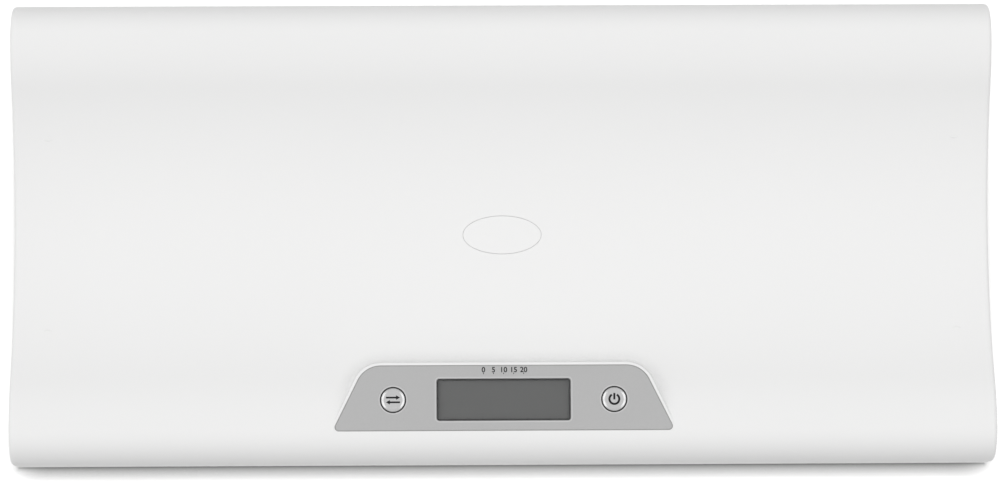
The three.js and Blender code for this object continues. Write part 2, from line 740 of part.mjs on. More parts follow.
// A dish below the seam whose sides tuck in to a flat floor.
function baseForm(inset, top, floor) {
  const levels = [[top, inset]];
  const round = tuckRadius - inset;
  for (let k = 0; k <= filletSteps; k++) {
    const turn = k * Math.PI / 2 / filletSteps;
    levels.push([floor + round * (1 - Math.sin(turn)), inset + round * (1 - Math.cos(turn))]);
  }
  const rings = levels.map(([z, set]) =>
    baseOutline(set, cornerRadius + set / 2).map(({ x, y }) => new THREE.Vector3(x, y, z)));
  return loft(rings, fromAbove);
}

function wallRing(outset, inset, low, high) {
  const outside = prism(baseOutline(outset, cornerRadius), low, high);
  return outside.subtract(prism(baseOutline(inset, cornerRadius), low - overrun, high + overrun));
}

// Battery bay places, from the door's hinge line to the rear
const springSide = springLength + slip;
const nubSide = slip;
const bayLength = 2 * contactThickness + springSide + batteryLength + nubHeight + nubSide;
const bayHalf = bayLength / 2;
const bayHalfWidth = cellCount * batteryPitch / 2 + slip;
const doorTop = baseHeight + doorThickness;
const batteryAxis = doorTop + 2 * slip + batteryRadius;
const bayTop = batteryAxis + batteryRadius + slip;
const doorHalfWidth = bayHalfWidth + doorLedge;
const doorHalfDepth = bayHalf + doorLedge;
const ledgeTop = floorTop + bayWall;
const tabSweep = Math.hypot(doorTabReach, doorThickness + 2 * slip + doorTabThickness) + slip;
const doorTabs = [-1, 1].map((side) => side * (doorHalfWidth - doorTabWidth));
const batteryPlaces = Array.from({ length: cellCount }, (_, i) =>
  ({ x: (i - (cellCount - 1) / 2) * batteryPitch, facing: i % 2 ? 1 : -1 }));

function batteryBay() {
  const ledge = box(-doorHalfWidth - wall, doorHalfWidth + wall, -doorHalfDepth - wall, doorHalfDepth + wall,
    baseHeight, ledgeTop);
  const shell = box(-bayHalfWidth - bayWall, bayHalfWidth + bayWall, -bayHalf - bayWall, bayHalf + bayWall,
    baseHeight, bayTop + bayWall);
  return ledge.add(shell);
}
function batteryBayCuts() {
  const tabTop = baseHeight + tabSweep;
  const cradles = batteryPlaces.map(({ x }) => box(x - tabWidth / 2 - slip, x + tabWidth / 2 + slip,
    -bayHalf - slip, -bayHalf + contactThickness + slip, bayTop - overrun, bayTop + bayWall + overrun));
  return [
    box(-doorHalfWidth - slip, doorHalfWidth + slip, -doorHalfDepth - slip, doorHalfDepth + slip,
      baseHeight - overrun, floorTop),
    box(-bayHalfWidth, bayHalfWidth, -bayHalf, bayHalf, baseHeight, bayTop),
    ...doorTabs.map((x) => box(x - doorTabWidth / 2 - slip, x + doorTabWidth / 2 + slip,
      -doorHalfDepth - doorTabReach - slip, -bayHalf, floorTop - overrun, tabTop)),
    box(-latchWidth / 2 - slip, latchWidth / 2 + slip, bayHalf, doorHalfDepth + slip,
      floorTop - overrun, ledgeTop + overrun),
    cradles[0],
    cradles[cellCount - 1],
  ];
}

function baseCover() {
  const shell = baseForm(0, rimTop, baseHeight).subtract(baseForm(wall, seamHeight, floorTop));
  const lipInset = wall + slip + lipHeight * Math.tan(draft);
  const band = wallRing(wall / 2, lipInset + lipThickness, seamHeight - bandHeight, rimTop);
  const lip = wallRing(lipInset, lipInset + lipThickness, rimTop - slip, seamHeight + lipHeight);
  const wells = corners.map(({ across, back }) => roundBar(wellRadius + wall, baseHeight, wellCeiling,
    across * footAcross / 2, back * footAlong / 2, footSides));
  const posts = housingScrewPlaces.map(({ x, y }) =>
    roundBar(housingPostRadius, baseHeight, housingPostTop - slip, x, y));
  const ribTop = floorTop + ribHeight;
  const ribLines = [footAcross / 5, footAcross * 3 / 10].flatMap((x) => [-x, x]);
  const crossRibs = ribLines.map((x) => box(x - ribThickness / 2, x + ribThickness / 2,
    -sideScrewAlong, sideScrewAlong, baseHeight + wall / 2, ribTop));
  const longRib = box(-endScrewAcross, endScrewAcross, -ribThickness / 2, ribThickness / 2,
    baseHeight + wall / 2, ribTop);
  const bay = batteryBay().translate(0, bayRearward, 0);
  const feetCuts = corners.flatMap(({ across, back }) => {
    const [x, y] = [across * footAcross / 2, back * footAlong / 2];
    const slots = [-1, 1].map((side) => {
      const middle = y + side * hookReach;
      const [halfAcross, halfAlong] = [hookWidth / 2 + slip, hookThickness / 2 + slip];
      return box(x - halfAcross, x + halfAcross, middle - halfAlong, middle + halfAlong,
        wellHeight - overrun, wellCeiling + overrun);
    });
    return [
      roundBar(wellRadius, baseHeight - overrun, wellHeight, x, y, footSides),
      roundBar(2 * cellLeadRadius, wellHeight - overrun, wellCeiling + overrun, x - across * leadReach, y),
      ...slots,
    ];
  });
  const postCuts = housingScrewPlaces.flatMap(({ x, y }) => {
    const seat = housingPostTop - housingWebThickness;
    return [
      roundBar(housingScrewHead + slip, baseHeight - overrun, seat, x, y),
      roundBar(housingScrewShank + slip, seat - overrun, housingPostTop + overrun, x, y),
    ];
  });
  const bayCuts = batteryBayCuts().map((cut) => cut.translate(0, bayRearward, 0));
  const finger = new THREE.SphereGeometry(fingerRadius, smallSides, smallSides / 2);
  finger.translate(0, bayRearward + doorHalfDepth, baseHeight - fingerRadius + fingerDepth);
  return cutAll(join([shell, band, lip, ...wells, ...posts, ...crossRibs, longRib, bay]),
    [...feetCuts, ...postCuts, ...bayCuts, solid(finger)]);
}

// Load cell: a square plate slotted into a frame and a tongue, which the foot's boss presses
const cellTop = wellHeight - slip;
const cellBottom = cellTop - cellThickness;
const leadReach = cellSize / 2 - cellFrame - cellSlot;
function loadCell() {
  const half = cellSize / 2;
  const inner = half - cellFrame;
  const plate = box(-half, half, -half, half, cellBottom, cellTop);
  const slotOut = box(-inner, inner, -cellTongue / 2 - cellSlot, cellTongue / 2 + cellSlot,
    cellBottom - overrun, cellTop + overrun);
  const tongue = box(-inner + cellSlot, inner, -cellTongue / 2, cellTongue / 2, cellBottom, cellTop);
  return plate.subtract(slotOut).add(tongue.add(box(inner - slip, inner + slip, -cellTongue / 2,
    cellTongue / 2, cellBottom, cellTop)));
}

// Foot: a round cup with a boss for the load cell and two hooks through the well's ceiling
function weighingFoot() {
  const floor = footLift + footFloor;
  const cup = turned([
    [0, footLift], [footRadius - footRound, footLift], [footRadius, footLift + footRound],
    [footRadius, footTop], [footRadius - footWall, footTop],
    [footRadius - footWall, floor], [footBossRadius, floor], [footBossRadius, cellBottom], [0, cellBottom],
  ], footSides);
  const hooks = [-1, 1].map((side) => {
    const [inner, outer] = [side * (hookReach - hookThickness / 2), side * (hookReach + hookThickness / 2)];
    const barbEnd = outer + side * hookBarb;
    const hookTop = wellCeiling + slip + hookHead;
    const arm = box(-hookWidth / 2, hookWidth / 2, Math.min(inner, outer), Math.max(inner, outer),
      floor - slip, hookTop);
    const barb = box(-hookWidth / 2, hookWidth / 2, Math.min(inner, barbEnd), Math.max(inner, barbEnd),
      wellCeiling + slip, hookTop);
    return arm.add(barb);
  });
  const recess = roundBar(padRadius + slip, 0, padThickness, 0, 0, footSides);
  return join([cup, ...hooks]).subtract(recess);
}
const rubberPad = () => turned([
  [0, 0], [padRadius - slip, 0], [padRadius, slip], [padRadius, padThickness], [0, padThickness],
], footSides);

addPiece('base_cover', baseCover(), whiteBase);
for (const { name, across, back } of corners) {
  const corner = new THREE.Group();
  corner.position.set(across * footAcross / 2, back * footAlong / 2, 0);
  corner.rotation.z = across < 0 ? 0 : Math.PI;
  addPiece(`load_cell_${name}`, loadCell(), cellSteel, corner);
  addPiece(`foot_${name}`, weighingFoot(), whiteBase, corner);
  addPiece(`foot_pad_${name}`, rubberPad(), rubberGrey, corner);
  scaleModel.add(corner);
}

// Housing screws, driven up from deep holes in the base
for (const { name, x, y } of housingScrewPlaces) {
  const screw = screwBody(housingScrewShank, housingScrewHead, housingScrewHeadHeight, housingScrewLength);
  const seat = housingPostTop - housingWebThickness;
  addPiece(`housing_screw_${name}`, screw, screwSteel).position.set(x, y, seat);
}

// Battery door: hooks under the ledge at its front edge and latches at the rear
const bay = new THREE.Group();
bay.position.set(0, bayRearward, 0);
scaleModel.add(bay);
function batteryDoor() {
  const panel = prism(roundedRectangle(2 * doorHalfWidth, 2 * doorHalfDepth, wall), baseHeight, doorTop);
  const tabLow = floorTop + slip;
  const tabs = doorTabs.flatMap((x) => {
    const [left, right] = [x - doorTabWidth / 2, x + doorTabWidth / 2];
    const root = -doorHalfDepth + doorTabRoot;
    return [
      box(left, right, -doorHalfDepth, root, doorTop - slip, tabLow + doorTabThickness),
      box(left, right, -doorHalfDepth - doorTabReach, root, tabLow, tabLow + doorTabThickness),
    ];
  });
  const latchFace = doorHalfDepth - latchNib - slip / 2;
  const latch = box(-latchWidth / 2, latchWidth / 2, latchFace - latchThickness, latchFace,
    doorTop - slip, doorTop + latchHeight);
  const nib = box(-latchWidth / 2, latchWidth / 2, latchFace - latchThickness, latchFace + latchNib,
    floorTop + slip, floorTop + slip + latchNib);
  return join([panel, ...tabs, latch, nib]);
}
addPiece('battery_door', batteryDoor(), whiteBase, bay);

// Batteries, turned nub end up and laid along the bay
const batteryShift = (springSide - nubSide) / 2;
for (const [i, { x, facing }] of batteryPlaces.entries()) {
  const battery = turned([
    [0, -batteryLength / 2], [batteryRadius, -batteryLength / 2],
    [batteryRadius, batteryLength / 2 - slip], [batteryRadius - slip, batteryLength / 2],
    [nubRadius, batteryLength / 2], [nubRadius, batteryLength / 2 + nubHeight],
    [0, batteryLength / 2 + nubHeight],
  ]);
  const piece = addPiece(`battery_${i + 1}`, battery, batterySleeve, bay);
  piece.rotation.x = -facing * Math.PI / 2;
  piece.position.set(x, facing * (batteryShift - nubHeight / 2), batteryAxis);
}

// Battery contacts: plates against the bay's ends, with a tapered coil for each flat battery end
function springPoints(x, end, facing) {
  const coilSteps = Math.round(springTurns * springStepsPerTurn);
  const foot = end + facing * contactThickness / 2;
  const start = end + facing * (contactThickness + springWire);
  const tip = end + facing * (contactThickness + springLength - springWire / 2);
  const coil = Array.from({ length: coilSteps + 1 }, (_, k) => {
    const [share, angle] = [k / coilSteps, k * 2 * Math.PI / springStepsPerTurn];
    const radius = springFootRadius + (springTipRadius - springFootRadius) * share;
    return new THREE.Vector3(x + radius * Math.cos(angle), start + (tip - start) * share,
      batteryAxis + radius * Math.sin(angle));
  });
  return [new THREE.Vector3(x + springFootRadius, foot, batteryAxis), ...coil];
}
function leastTurnGap(points) {
  const halfTurn = springStepsPerTurn / 2;
  let least = Infinity;
  points.forEach((point, i) => points.slice(i + halfTurn + 1).forEach((other) => {
    least = Math.min(least, point.distanceTo(other) - springWire);
  }));
  return least;
}
console.log(`battery coil: least gap between turns ${leastTurnGap(springPoints(0, 0, 1)).toFixed(2)} mm`);

function contact(places, side, hasTab) {
  const end = side * bayHalf;
  const facing = -side;
  const inner = end + facing * contactThickness;
  const [low, high] = [places[0].x - contactWidth / 2, places[places.length - 1].x + contactWidth / 2];
  const plate = box(low, high, Math.min(end, inner), Math.max(end, inner),
    batteryAxis - contactBelow, batteryAxis + contactAbove);
  const springs = places.filter((place) => place.facing !== side).map(({ x }) => {
    return tube(springPoints(x, end, facing), springWire / 2, 1, springSides);
  });
  const tabs = hasTab ? [box(places[0].x - tabWidth / 2, places[0].x + tabWidth / 2, Math.min(end, inner),
    Math.max(end, inner), batteryAxis, bayTop + bayWall + tabRise)] : [];
  return join([plate, ...springs, ...tabs]);
}
const [farLeft, left, right, farRight] = batteryPlaces;
const contactGroups = [
  ['contact_front_left', [farLeft], -1, true],
  ['contact_front_middle', [left, right], -1, false],
  ['contact_front_right', [farRight], -1, true],
  ['contact_rear_left', [farLeft, left], 1, false],
  ['contact_rear_right', [right, farRight], 1, false],
];
for (const [name, members, side, hasTab] of contactGroups) {
  addPiece(name, contact(members, side, hasTab), springSteel, bay);
}

// Leads: from each load cell, over the base's ribs, up to its socket on the board
const leadRest = floorTop + ribHeight + 2 * cellLeadRadius;
const socketMouth = boardBottom - socketHeight - slip;
for (const { name, across, back } of corners) {
  const startX = across * (footAcross / 2 - leadReach);
  const start = new THREE.Vector3(startX, back * footAlong / 2, cellTop + slip);
  const socketX = across * socketSpacing * (back < 0 ? socketsPerSide : 1);
  const socket = new THREE.Vector3(socketX, controlLine + socketLine, socketMouth);
  const rise = wellCeiling + 3 * cellLeadRadius;
  const passes = back < 0
    ? [[footAcross / 3, footAlong * 3 / 8], [footAcross / 5, footAlong / 3],
      [footAcross / 9, footAlong * 3 / 8]]
    : [[footAcross / 3, -footAlong / 4], [footAcross / 4, -footAlong / 9], [footAcross / 5, footAlong / 8],
      [footAcross / 10, footAlong / 4]];
  const wellEdge = across * (footAcross / 2 - wellRadius - wall - 2 * cellLeadRadius);
  const points = [
    start,
    new THREE.Vector3(start.x, start.y, wellCeiling),
    new THREE.Vector3(start.x - across * 2 * cellLeadRadius, start.y, rise),
    new THREE.Vector3(wellEdge, start.y - back * cellFrame, rise),
    ...passes.map(([x, y]) => new THREE.Vector3(across * x, -y, leadRest)),
    new THREE.Vector3(socket.x, socket.y, socket.z - socketHeight * 2),
    new THREE.Vector3(socket.x, socket.y, socket.z - socketHeight),
    socket,
  ];
  addPiece(`load_cell_lead_${name}`, tube(points, cellLeadRadius, leadRings, leadSides), leadGrey);
}

// Battery leads: from the contacts' tabs to the middle socket
const batteryLeads = [
  { name: 'battery_lead_red', place: batteryPlaces[0], side: -1, material: leadRed },
  { name: 'battery_lead_black', place: batteryPlaces[cellCount - 1], side: 1, material: leadBlack },
];
for (const { name, place, side, material } of batteryLeads) {
  const tabEnd = bayRearward - bayHalf + contactThickness / 2;
  const tabTop = bayTop + bayWall + tabRise + slip;
  const socketX = side * (batteryLeadRadius + slip);
  const points = [
    new THREE.Vector3(place.x, tabEnd, tabTop),
    new THREE.Vector3(place.x, tabEnd, tabTop + batteryLeadRadius),
    new THREE.Vector3(place.x, tabEnd - 2 * batteryLeadRadius, tabTop + 2 * batteryLeadRadius),
    new THREE.Vector3(place.x, tabEnd - 4 * tabRise, leadRest),
    new THREE.Vector3(place.x / 2, controlLine / 2, leadRest),
    new THREE.Vector3(socketX, controlLine + socketLine, socketMouth - 2 * socketHeight),
    new THREE.Vector3(socketX, controlLine + socketLine, socketMouth - socketHeight),
    new THREE.Vector3(socketX, controlLine + socketLine, socketMouth),
  ];
  addPiece(name, tube(points, batteryLeadRadius, leadRings, leadSides), material);
}

export default scaleModel;
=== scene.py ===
# A digital baby weighing scale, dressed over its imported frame: the camera and the table first, then
# each piece in the order in which the scale is put together, from the tray down to the leads.
# Lengths are in millimetres, and turn into metres where a mesh is made.
import math
import bmesh
import bpy
from mathutils import Matrix, Vector


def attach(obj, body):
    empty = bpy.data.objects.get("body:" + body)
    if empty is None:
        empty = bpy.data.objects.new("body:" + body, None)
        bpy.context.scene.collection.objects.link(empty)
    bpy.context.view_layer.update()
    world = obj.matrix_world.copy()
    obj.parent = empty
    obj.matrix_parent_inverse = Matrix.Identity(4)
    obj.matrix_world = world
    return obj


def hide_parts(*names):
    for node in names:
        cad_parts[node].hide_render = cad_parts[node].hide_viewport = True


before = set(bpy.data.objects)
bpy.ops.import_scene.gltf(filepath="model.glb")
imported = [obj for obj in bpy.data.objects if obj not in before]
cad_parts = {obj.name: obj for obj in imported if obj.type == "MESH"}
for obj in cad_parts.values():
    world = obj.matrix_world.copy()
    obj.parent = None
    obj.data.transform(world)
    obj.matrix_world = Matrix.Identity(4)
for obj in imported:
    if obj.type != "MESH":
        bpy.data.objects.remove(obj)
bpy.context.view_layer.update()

# Camera, table and light
# The camera hangs high over the tray, a little to the left and in front of it. Two soft lamps hang
# overhead, a weaker one stands at each end, one shines up from under the table, and white walls fill
# in the rest. The table is white and matt, with a thin shade on it round the scale.
MM = 0.001
camera_place = Vector((-37.48, -191.26, 2450.74)) * MM
camera_tilts = (("X", 4.397), ("Y", -0.856), ("Z", -0.230))
focal_length_in_pixels = 4001.6
picture_width_in_pixels = 1000
sensor_width = 36

camera = bpy.data.cameras.new("camera")
camera.sensor_width = sensor_width
camera.lens = sensor_width * focal_length_in_pixels / picture_width_in_pixels
camera.clip_start = 0.05
camera.clip_end = 60


def put_up(name, data):
    """Puts an object in the scene."""
    made = bpy.data.objects.new(name, data)
    bpy.context.scene.collection.objects.link(made)
    return made


camera_stand = put_up("camera", camera)
camera_turn = Matrix.Identity(4)
for axis, degrees in camera_tilts:
    camera_turn = camera_turn @ Matrix.Rotation(math.radians(degrees), 4, axis)
camera_stand.matrix_world = Matrix.Translation(camera_place) @ camera_turn
bpy.context.scene.camera = camera_stand
bpy.context.scene.view_settings.view_transform = "Standard"


def add_lamp(name, strength, spread, tilt_to_rear=0.0, tilt_to_right=0.0, mirrored=False):
    """A lamp so far away that its light is even; tilts are from straight overhead, in degrees.
    A lamp that isn't mirrored lights the object and leaves reflections to the white room."""
    lamp = bpy.data.lights.new(name, "SUN")
    lamp.energy = strength * math.pi
    lamp.angle = math.radians(spread)
    stand = put_up(name, lamp)
    stand.rotation_euler = (math.radians(-tilt_to_rear), math.radians(tilt_to_right), 0)
    stand.visible_glossy = stand.visible_transmission = mirrored
    return stand


add_lamp("overhead_lamp", 0.24, 22, tilt_to_rear=7)
add_lamp("broad_lamp", 0.33, 110, tilt_to_rear=1.5, tilt_to_right=-9)
add_lamp("left_lamp", 0.14, 50, tilt_to_right=-71)
add_lamp("right_lamp", 0.125, 50, tilt_to_right=71)
add_lamp("lamp_under_the_table", 0.58, 16, tilt_to_rear=180)

wall_brightness = 0.3
room = bpy.data.worlds.new("white_room")
room.use_nodes = True
bpy.context.scene.world = room


def add_node(tree, kind, **settings):
    """Puts a node in a tree with some of its settings."""
    made = tree.nodes.new(kind)
    for setting, value in settings.items():
        setattr(made, setting, value)
    return made


def feed(tree, socket, value):
    """Gives a socket a plain value, or links another socket to it."""
    if isinstance(value, bpy.types.NodeSocket):
        tree.links.new(value, socket)
    else:
        socket.default_value = value


def reckon(tree, operation, first, second=None, third=None):
    """A Math node on sockets or plain numbers, as its output."""
    made = add_node(tree, "ShaderNodeMath", operation=operation)
    for place, value in enumerate((first, second, third)):
        if value is not None:
            feed(tree, made.inputs[place], value)
    return made.outputs[0]


def seen_directly(tree):
    """1 for what the camera sees itself, in a reflection or through glass; 0 for light on the object."""
    path = add_node(tree, "ShaderNodeLightPath")
    mirrored = reckon(tree, "MAXIMUM", path.outputs["Is Glossy Ray"], path.outputs["Is Transmission Ray"])
    return reckon(tree, "MAXIMUM", path.outputs["Is Camera Ray"], mirrored)


def own_place(tree):
    """A place on a piece, measured in the piece's own frame."""
    return add_node(tree, "ShaderNodeTexCoord").outputs["Object"]


def along_axes(tree, place):
    """The X, Y and Z of a place."""
    made = add_node(tree, "ShaderNodeSeparateXYZ")
    tree.links.new(place, made.inputs[0])
    return made.outputs


def blend_colours(tree, mask, first, second):
    """Goes from one colour to another by a mask; a colour is a socket or three numbers."""
    made = add_node(tree, "ShaderNodeMix", data_type="RGBA")
    tree.links.new(mask, made.inputs["Factor"])
    for place, colour in ((6, first), (7, second)):
        linked = isinstance(colour, bpy.types.NodeSocket)
        feed(tree, made.inputs[place], colour if linked else (*colour, 1))
    return made.outputs[2]


def blend_shaders(tree, mask, first, second):
    """Goes from one shader to another by a mask, as a material's surface."""
    made = add_node(tree, "ShaderNodeMixShader")
    for place, socket in enumerate((mask, first, second)):
        tree.links.new(socket, made.inputs[place])
    tree.links.new(made.outputs[0], tree.nodes["Material Output"].inputs["Surface"])


background = room.node_tree.nodes["Background"]
background.inputs["Color"].default_value = (1, 1, 1, 1)
brightness = reckon(room.node_tree, "MULTIPLY_ADD", seen_directly(room.node_tree), 1 - wall_brightness,
                    wall_brightness)
room.node_tree.links.new(brightness, background.inputs["Strength"])

table_half_width = 20000
table_white = (0.52, 0.52, 0.52)
table_seen = (1.25, 1.25, 1.25)
corners_in_turn = ((-1, -1), (1, -1), (1, 1), (-1, 1))
table_mesh = bpy.data.meshes.new("table")
table_corners = [Vector((x, y, 0)) * table_half_width * MM for x, y in corners_in_turn]
table_mesh.from_pydata(table_corners, [], [(0, 1, 2, 3)])
table = put_up("table", table_mesh)
table.visible_shadow = False
table_finish = bpy.data.materials.new("matt_white_table")
table_finish.use_nodes = True
tree = table_finish.node_tree
tree.nodes.clear()
matt = add_node(tree, "ShaderNodeBsdfDiffuse")
add_node(tree, "ShaderNodeOutputMaterial")

# The shade round the scale: soft where the scale stands close behind a place, and darker in a thin
# line along its footprint.
shade_direction = (0, 0.8, 0.6)
shade_reach = 18
shade_depth = 1.85
shade_samples = 12
footprint_half = (295, 138.9)
line_depth = 0.55
line_fade = 1.6
spot = along_axes(tree, own_place(tree))
squares = []
for axis, half in enumerate(footprint_half):
    past = reckon(tree, "SUBTRACT", reckon(tree, "ABSOLUTE", spot[axis]), half * MM)
    squares.append(reckon(tree, "POWER", reckon(tree, "MAXIMUM", past, 0), 2))
away = reckon(tree, "SQRT", reckon(tree, "ADD", *squares))
line = reckon(tree, "EXPONENT", reckon(tree, "DIVIDE", away, -line_fade * MM))
closeness = add_node(tree, "ShaderNodeAmbientOcclusion", samples=shade_samples)
closeness.inputs["Distance"].default_value = shade_reach * MM
towards_rear = add_node(tree, "ShaderNodeCombineXYZ")
for axis, value in enumerate(shade_direction):
    towards_rear.inputs[axis].default_value = value
tree.links.new(towards_rear.outputs[0], closeness.inputs["Normal"])
shade = reckon(tree, "MULTIPLY", reckon(tree, "POWER", closeness.outputs["AO"], shade_depth),
               reckon(tree, "MULTIPLY_ADD", line, -line_depth, 1))
shaded_table = blend_colours(tree, shade, (0, 0, 0), table_seen)
tree.links.new(blend_colours(tree, seen_directly(tree), table_white, shaded_table), matt.inputs["Color"])
clear_from_below = add_node(tree, "ShaderNodeBsdfTransparent")
blend_shaders(tree, add_node(tree, "ShaderNodeNewGeometry").outputs["Backfacing"], matt.outputs[0],
              clear_from_below.outputs[0])
table_mesh.materials.append(table_finish)

# Tray
# One injection-moulded shell of smooth white plastic with a satin gloss: a trough between two rolled
# lips, with the control pod standing on its front slope. It drops over the base and is screwed to it
# from below.
tray_width = 590
tray_depth = 277
crest_height = 65
seam_height = 24
bowl_clearance = 11
roll_radius = 20
crest_radius = 64
wall = 2.5
draft = math.radians(1)
end_draft = math.radians(0.1)
edge_radius = 2.5
corner_radius = 2.6
least_rounding = 0.5
slip = 0.3
right_angle = math.pi / 2

crest_across = tray_depth / 2 - roll_radius
bowl_floor = seam_height + bowl_clearance
slope = 2 * math.atan((crest_height - bowl_floor) / crest_across)
bowl_radius = crest_across / math.sin(slope) - crest_radius
bowl_half = bowl_radius * math.sin(slope)
roll_height = crest_height - roll_radius


def tray_top(y):
    """Height of the tray's upper surface at a distance from its middle line."""
    across = abs(y)
    if across <= bowl_half:
        return bowl_floor + bowl_radius - math.sqrt(bowl_radius ** 2 - across ** 2)
    if across <= crest_across:
        return crest_height - crest_radius + math.sqrt(crest_radius ** 2 - (crest_across - across) ** 2)
    return roll_height + math.sqrt(roll_radius ** 2 - (across - crest_across) ** 2)


def tray_rise(y):
    """Rise over run of that surface towards the rear."""
    across = abs(y)
    if across <= bowl_half:
        return y / math.sqrt(bowl_radius ** 2 - across ** 2)
    radius = crest_radius if across <= crest_across else roll_radius
    past = crest_across - across
    return math.copysign(1, y) * past / math.sqrt(radius ** 2 - past ** 2)


def skirt_at(z):
    """How far the front and rear skirts stand from the middle line at a height."""
    return crest_across + roll_radius / math.cos(draft) + (roll_height - z) * math.tan(draft)


def evenly(start, end, steps):
    """Values in even steps from a start to an end."""
    return [start + (end - start) * k / steps for k in range(steps + 1)]


def tray_section(inset, low, fineness):
    """The section from the front seam over both lips to the rear seam: (y, z) and the normal there."""
    def arc(y, z, radius, start, end, steps, hollow=1):
        made = []
        for tilt in evenly(start, end, steps):
            ny, nz = -math.cos(tilt), math.sin(tilt)
            reach = hollow * radius - inset
            made.append((y + reach * ny, z + reach * nz, ny, nz))
        return made
    foot = -skirt_at(low) + inset / math.cos(draft)
    front = [(foot - (low - z) * math.tan(draft), z, -1 / math.cos(draft), 0)
             for z in (low, low + (roll_height - low) / 2)]
    front += arc(-crest_across, roll_height, roll_radius, draft, right_angle, 6 * fineness)
    front += arc(-crest_across, crest_height - crest_radius, crest_radius, right_angle, right_angle + slope,
                 3 * fineness)[1:]
    front += arc(0, bowl_floor + bowl_radius, bowl_radius, right_angle + slope, right_angle,
                 5 * fineness, hollow=-1)[1:]
    rear = [(-y, z, -ny, nz) for y, z, ny, nz in reversed(front[:-1])]
    return front + rear


def loft(rings):
    """Skins closed rings of points into a body with flat ends."""
    count = len(rings[0])
    points = [point for ring in rings for point in ring]
    faces = []
    for start in range(0, (len(rings) - 1) * count, count):
        for i in range(count):
            after = (i + 1) % count
            faces.append((start + i, start + after, start + count + after, start + count + i))
    faces.append(tuple(reversed(range(count))))
    faces.append(tuple(range((len(rings) - 1) * count, len(rings) * count)))
    return points, faces


def tray_form(inset, low, fineness, end_steps, bays):
    """The tray's outer or inner form: the section run from end to end, with rounded end edges."""
    section = tray_section(inset, low, fineness)

    def ring(side, turn, share=1):
        made = []
        for y, z, ny, nz in section:
            rounding = edge_radius + (corner_radius - edge_radius) * min(1, abs(ny)) ** 4
            rounding = max(rounding - inset, least_rounding)
            sink = rounding * (1 - math.sin(turn))
            height = z - nz * sink
            reach = tray_width / 2 - (height - seam_height) * math.tan(end_draft) - inset
            reach -= rounding * (1 - math.cos(turn))
            made.append(Vector((side * share * reach, y - ny * sink, height)))
        return made
    turns = evenly(0, right_angle, end_steps)
    left = [ring(-1, turn) for turn in turns]
    middle = [ring(1, right_angle, 2 * k / bays - 1) for k in range(1, bays)]
    right = [ring(1, turn) for turn in reversed(turns)]
    return loft(left + middle + right)


def rounded_outline(corners, radii, steps=10, spacing=None):
    """Goes round a convex polygon with rounded corners: points with their outward normals."""
    outline = []
    for i, corner in enumerate(corners):
        before, after = corners[i - 1], corners[(i + 1) % len(corners)]
        arriving, leaving = (corner - before).normalized(), (after - corner).normalized()
        first, last = Vector((arriving.y, -arriving.x)), Vector((leaving.y, -leaving.x))
        centre = corner - (first + last) * radii[i] / (1 + first.dot(last))
        turn = math.acos(max(-1, min(1, first.dot(last))))
        start = centre + first * radii[i]
        if spacing and outline:
            run_up(outline, start, first, spacing)
        for k in range(steps + 1):
            normal = first.copy()
            normal.rotate(Matrix.Rotation(turn * k / steps, 2))
            outline.append((centre + normal * radii[i], normal))
    if spacing:
        run_up(outline, outline[0][0], outline[0][1], spacing)
    return outline


def run_up(outline, end, normal, spacing):
    """Adds points along a straight side, up to but without its end."""
    start = outline[-1][0]
    count = int((end - start).length / spacing)
    for k in range(1, count):
        outline.append((start.lerp(end, k / count), normal))


def set_out(outline, offset=0):
    return [point + normal * offset for point, normal in outline]


def grown(outline, offset):
    """An outline set out by an offset, with its normals."""
    return [(point + normal * offset, normal) for point, normal in outline]


def at_height(points, z):
    return [Vector((point.x, point.y, z)) for point in points]


def rectangle(width, depth, x=0, y=0):
    return [Vector((x + across * width / 2, y + back * depth / 2)) for across, back in corners_in_turn]


def round_circle(sides):
    """The cosine and sine of even turns round a circle."""
    turns = [2 * math.pi * k / sides for k in range(sides)]
    return [(math.cos(turn), math.sin(turn)) for turn in turns]


def round_outline(radius, x=0, y=0, sides=64):
    normals = [Vector(direction) for direction in round_circle(sides)]
    return [(Vector((x, y)) + normal * radius, normal) for normal in normals]


def prism(outline, low, high):
    return loft([at_height(outline, low), at_height(outline, high)])


def bar(radius, low, high, x=0, y=0, sides=32):
    return prism(set_out(round_outline(radius, x, y, sides)), low, high)


def block(x0, x1, y0, y1, z0, z1):
    return prism([Vector((x0, y0)), Vector((x1, y0)), Vector((x1, y1)), Vector((x0, y1))], z0, z1)


def together(bodies):
    """Several bodies that don't touch, as one."""
    points, faces = [], []
    for some_points, some_faces in bodies:
        faces += [tuple(len(points) + corner for corner in face) for face in some_faces]
        points += some_points
    return points, faces


def softened_hole(outline, low, rim, softening, steps=4):
    """The cutter of a hole whose upper edge is rounded over."""
    rings = [at_height(set_out(outline), low)]
    for turn in evenly(0, right_angle, steps):
        rings.append(at_height(set_out(outline, softening * (1 - math.cos(turn))),
                               rim - softening * (1 - math.sin(turn))))
    rings.append(at_height(set_out(outline, softening), rim + wall))
    return loft(rings)


# The pod's outline, which the silver panel and the pod's white rim share
panel_width = 203.1
panel_depth = 38.2
panel_setback = 19.6
panel_slant = math.radians(26.5)
panel_thickness = 0.8
panel_sink = 0.1
panel_corner_radii = (2, 2, 15, 15)
panel_gap = 0.5
pod_rim = 2.2
pod_corner_radii = (3.2, 3.2, 17.5, 17.5)
pod_corner_steps = 16
pod_spacing = 1.5
pod_edge_radius = 0.8
pod_draft = math.radians(4)
pod_foot_radius = 3.5
panel_front = tray_depth / 2 - panel_setback
panel_rear = panel_front - panel_depth
panel_top = crest_height - panel_sink
panel_bottom = panel_top - panel_thickness
pod_ceiling = panel_bottom - wall


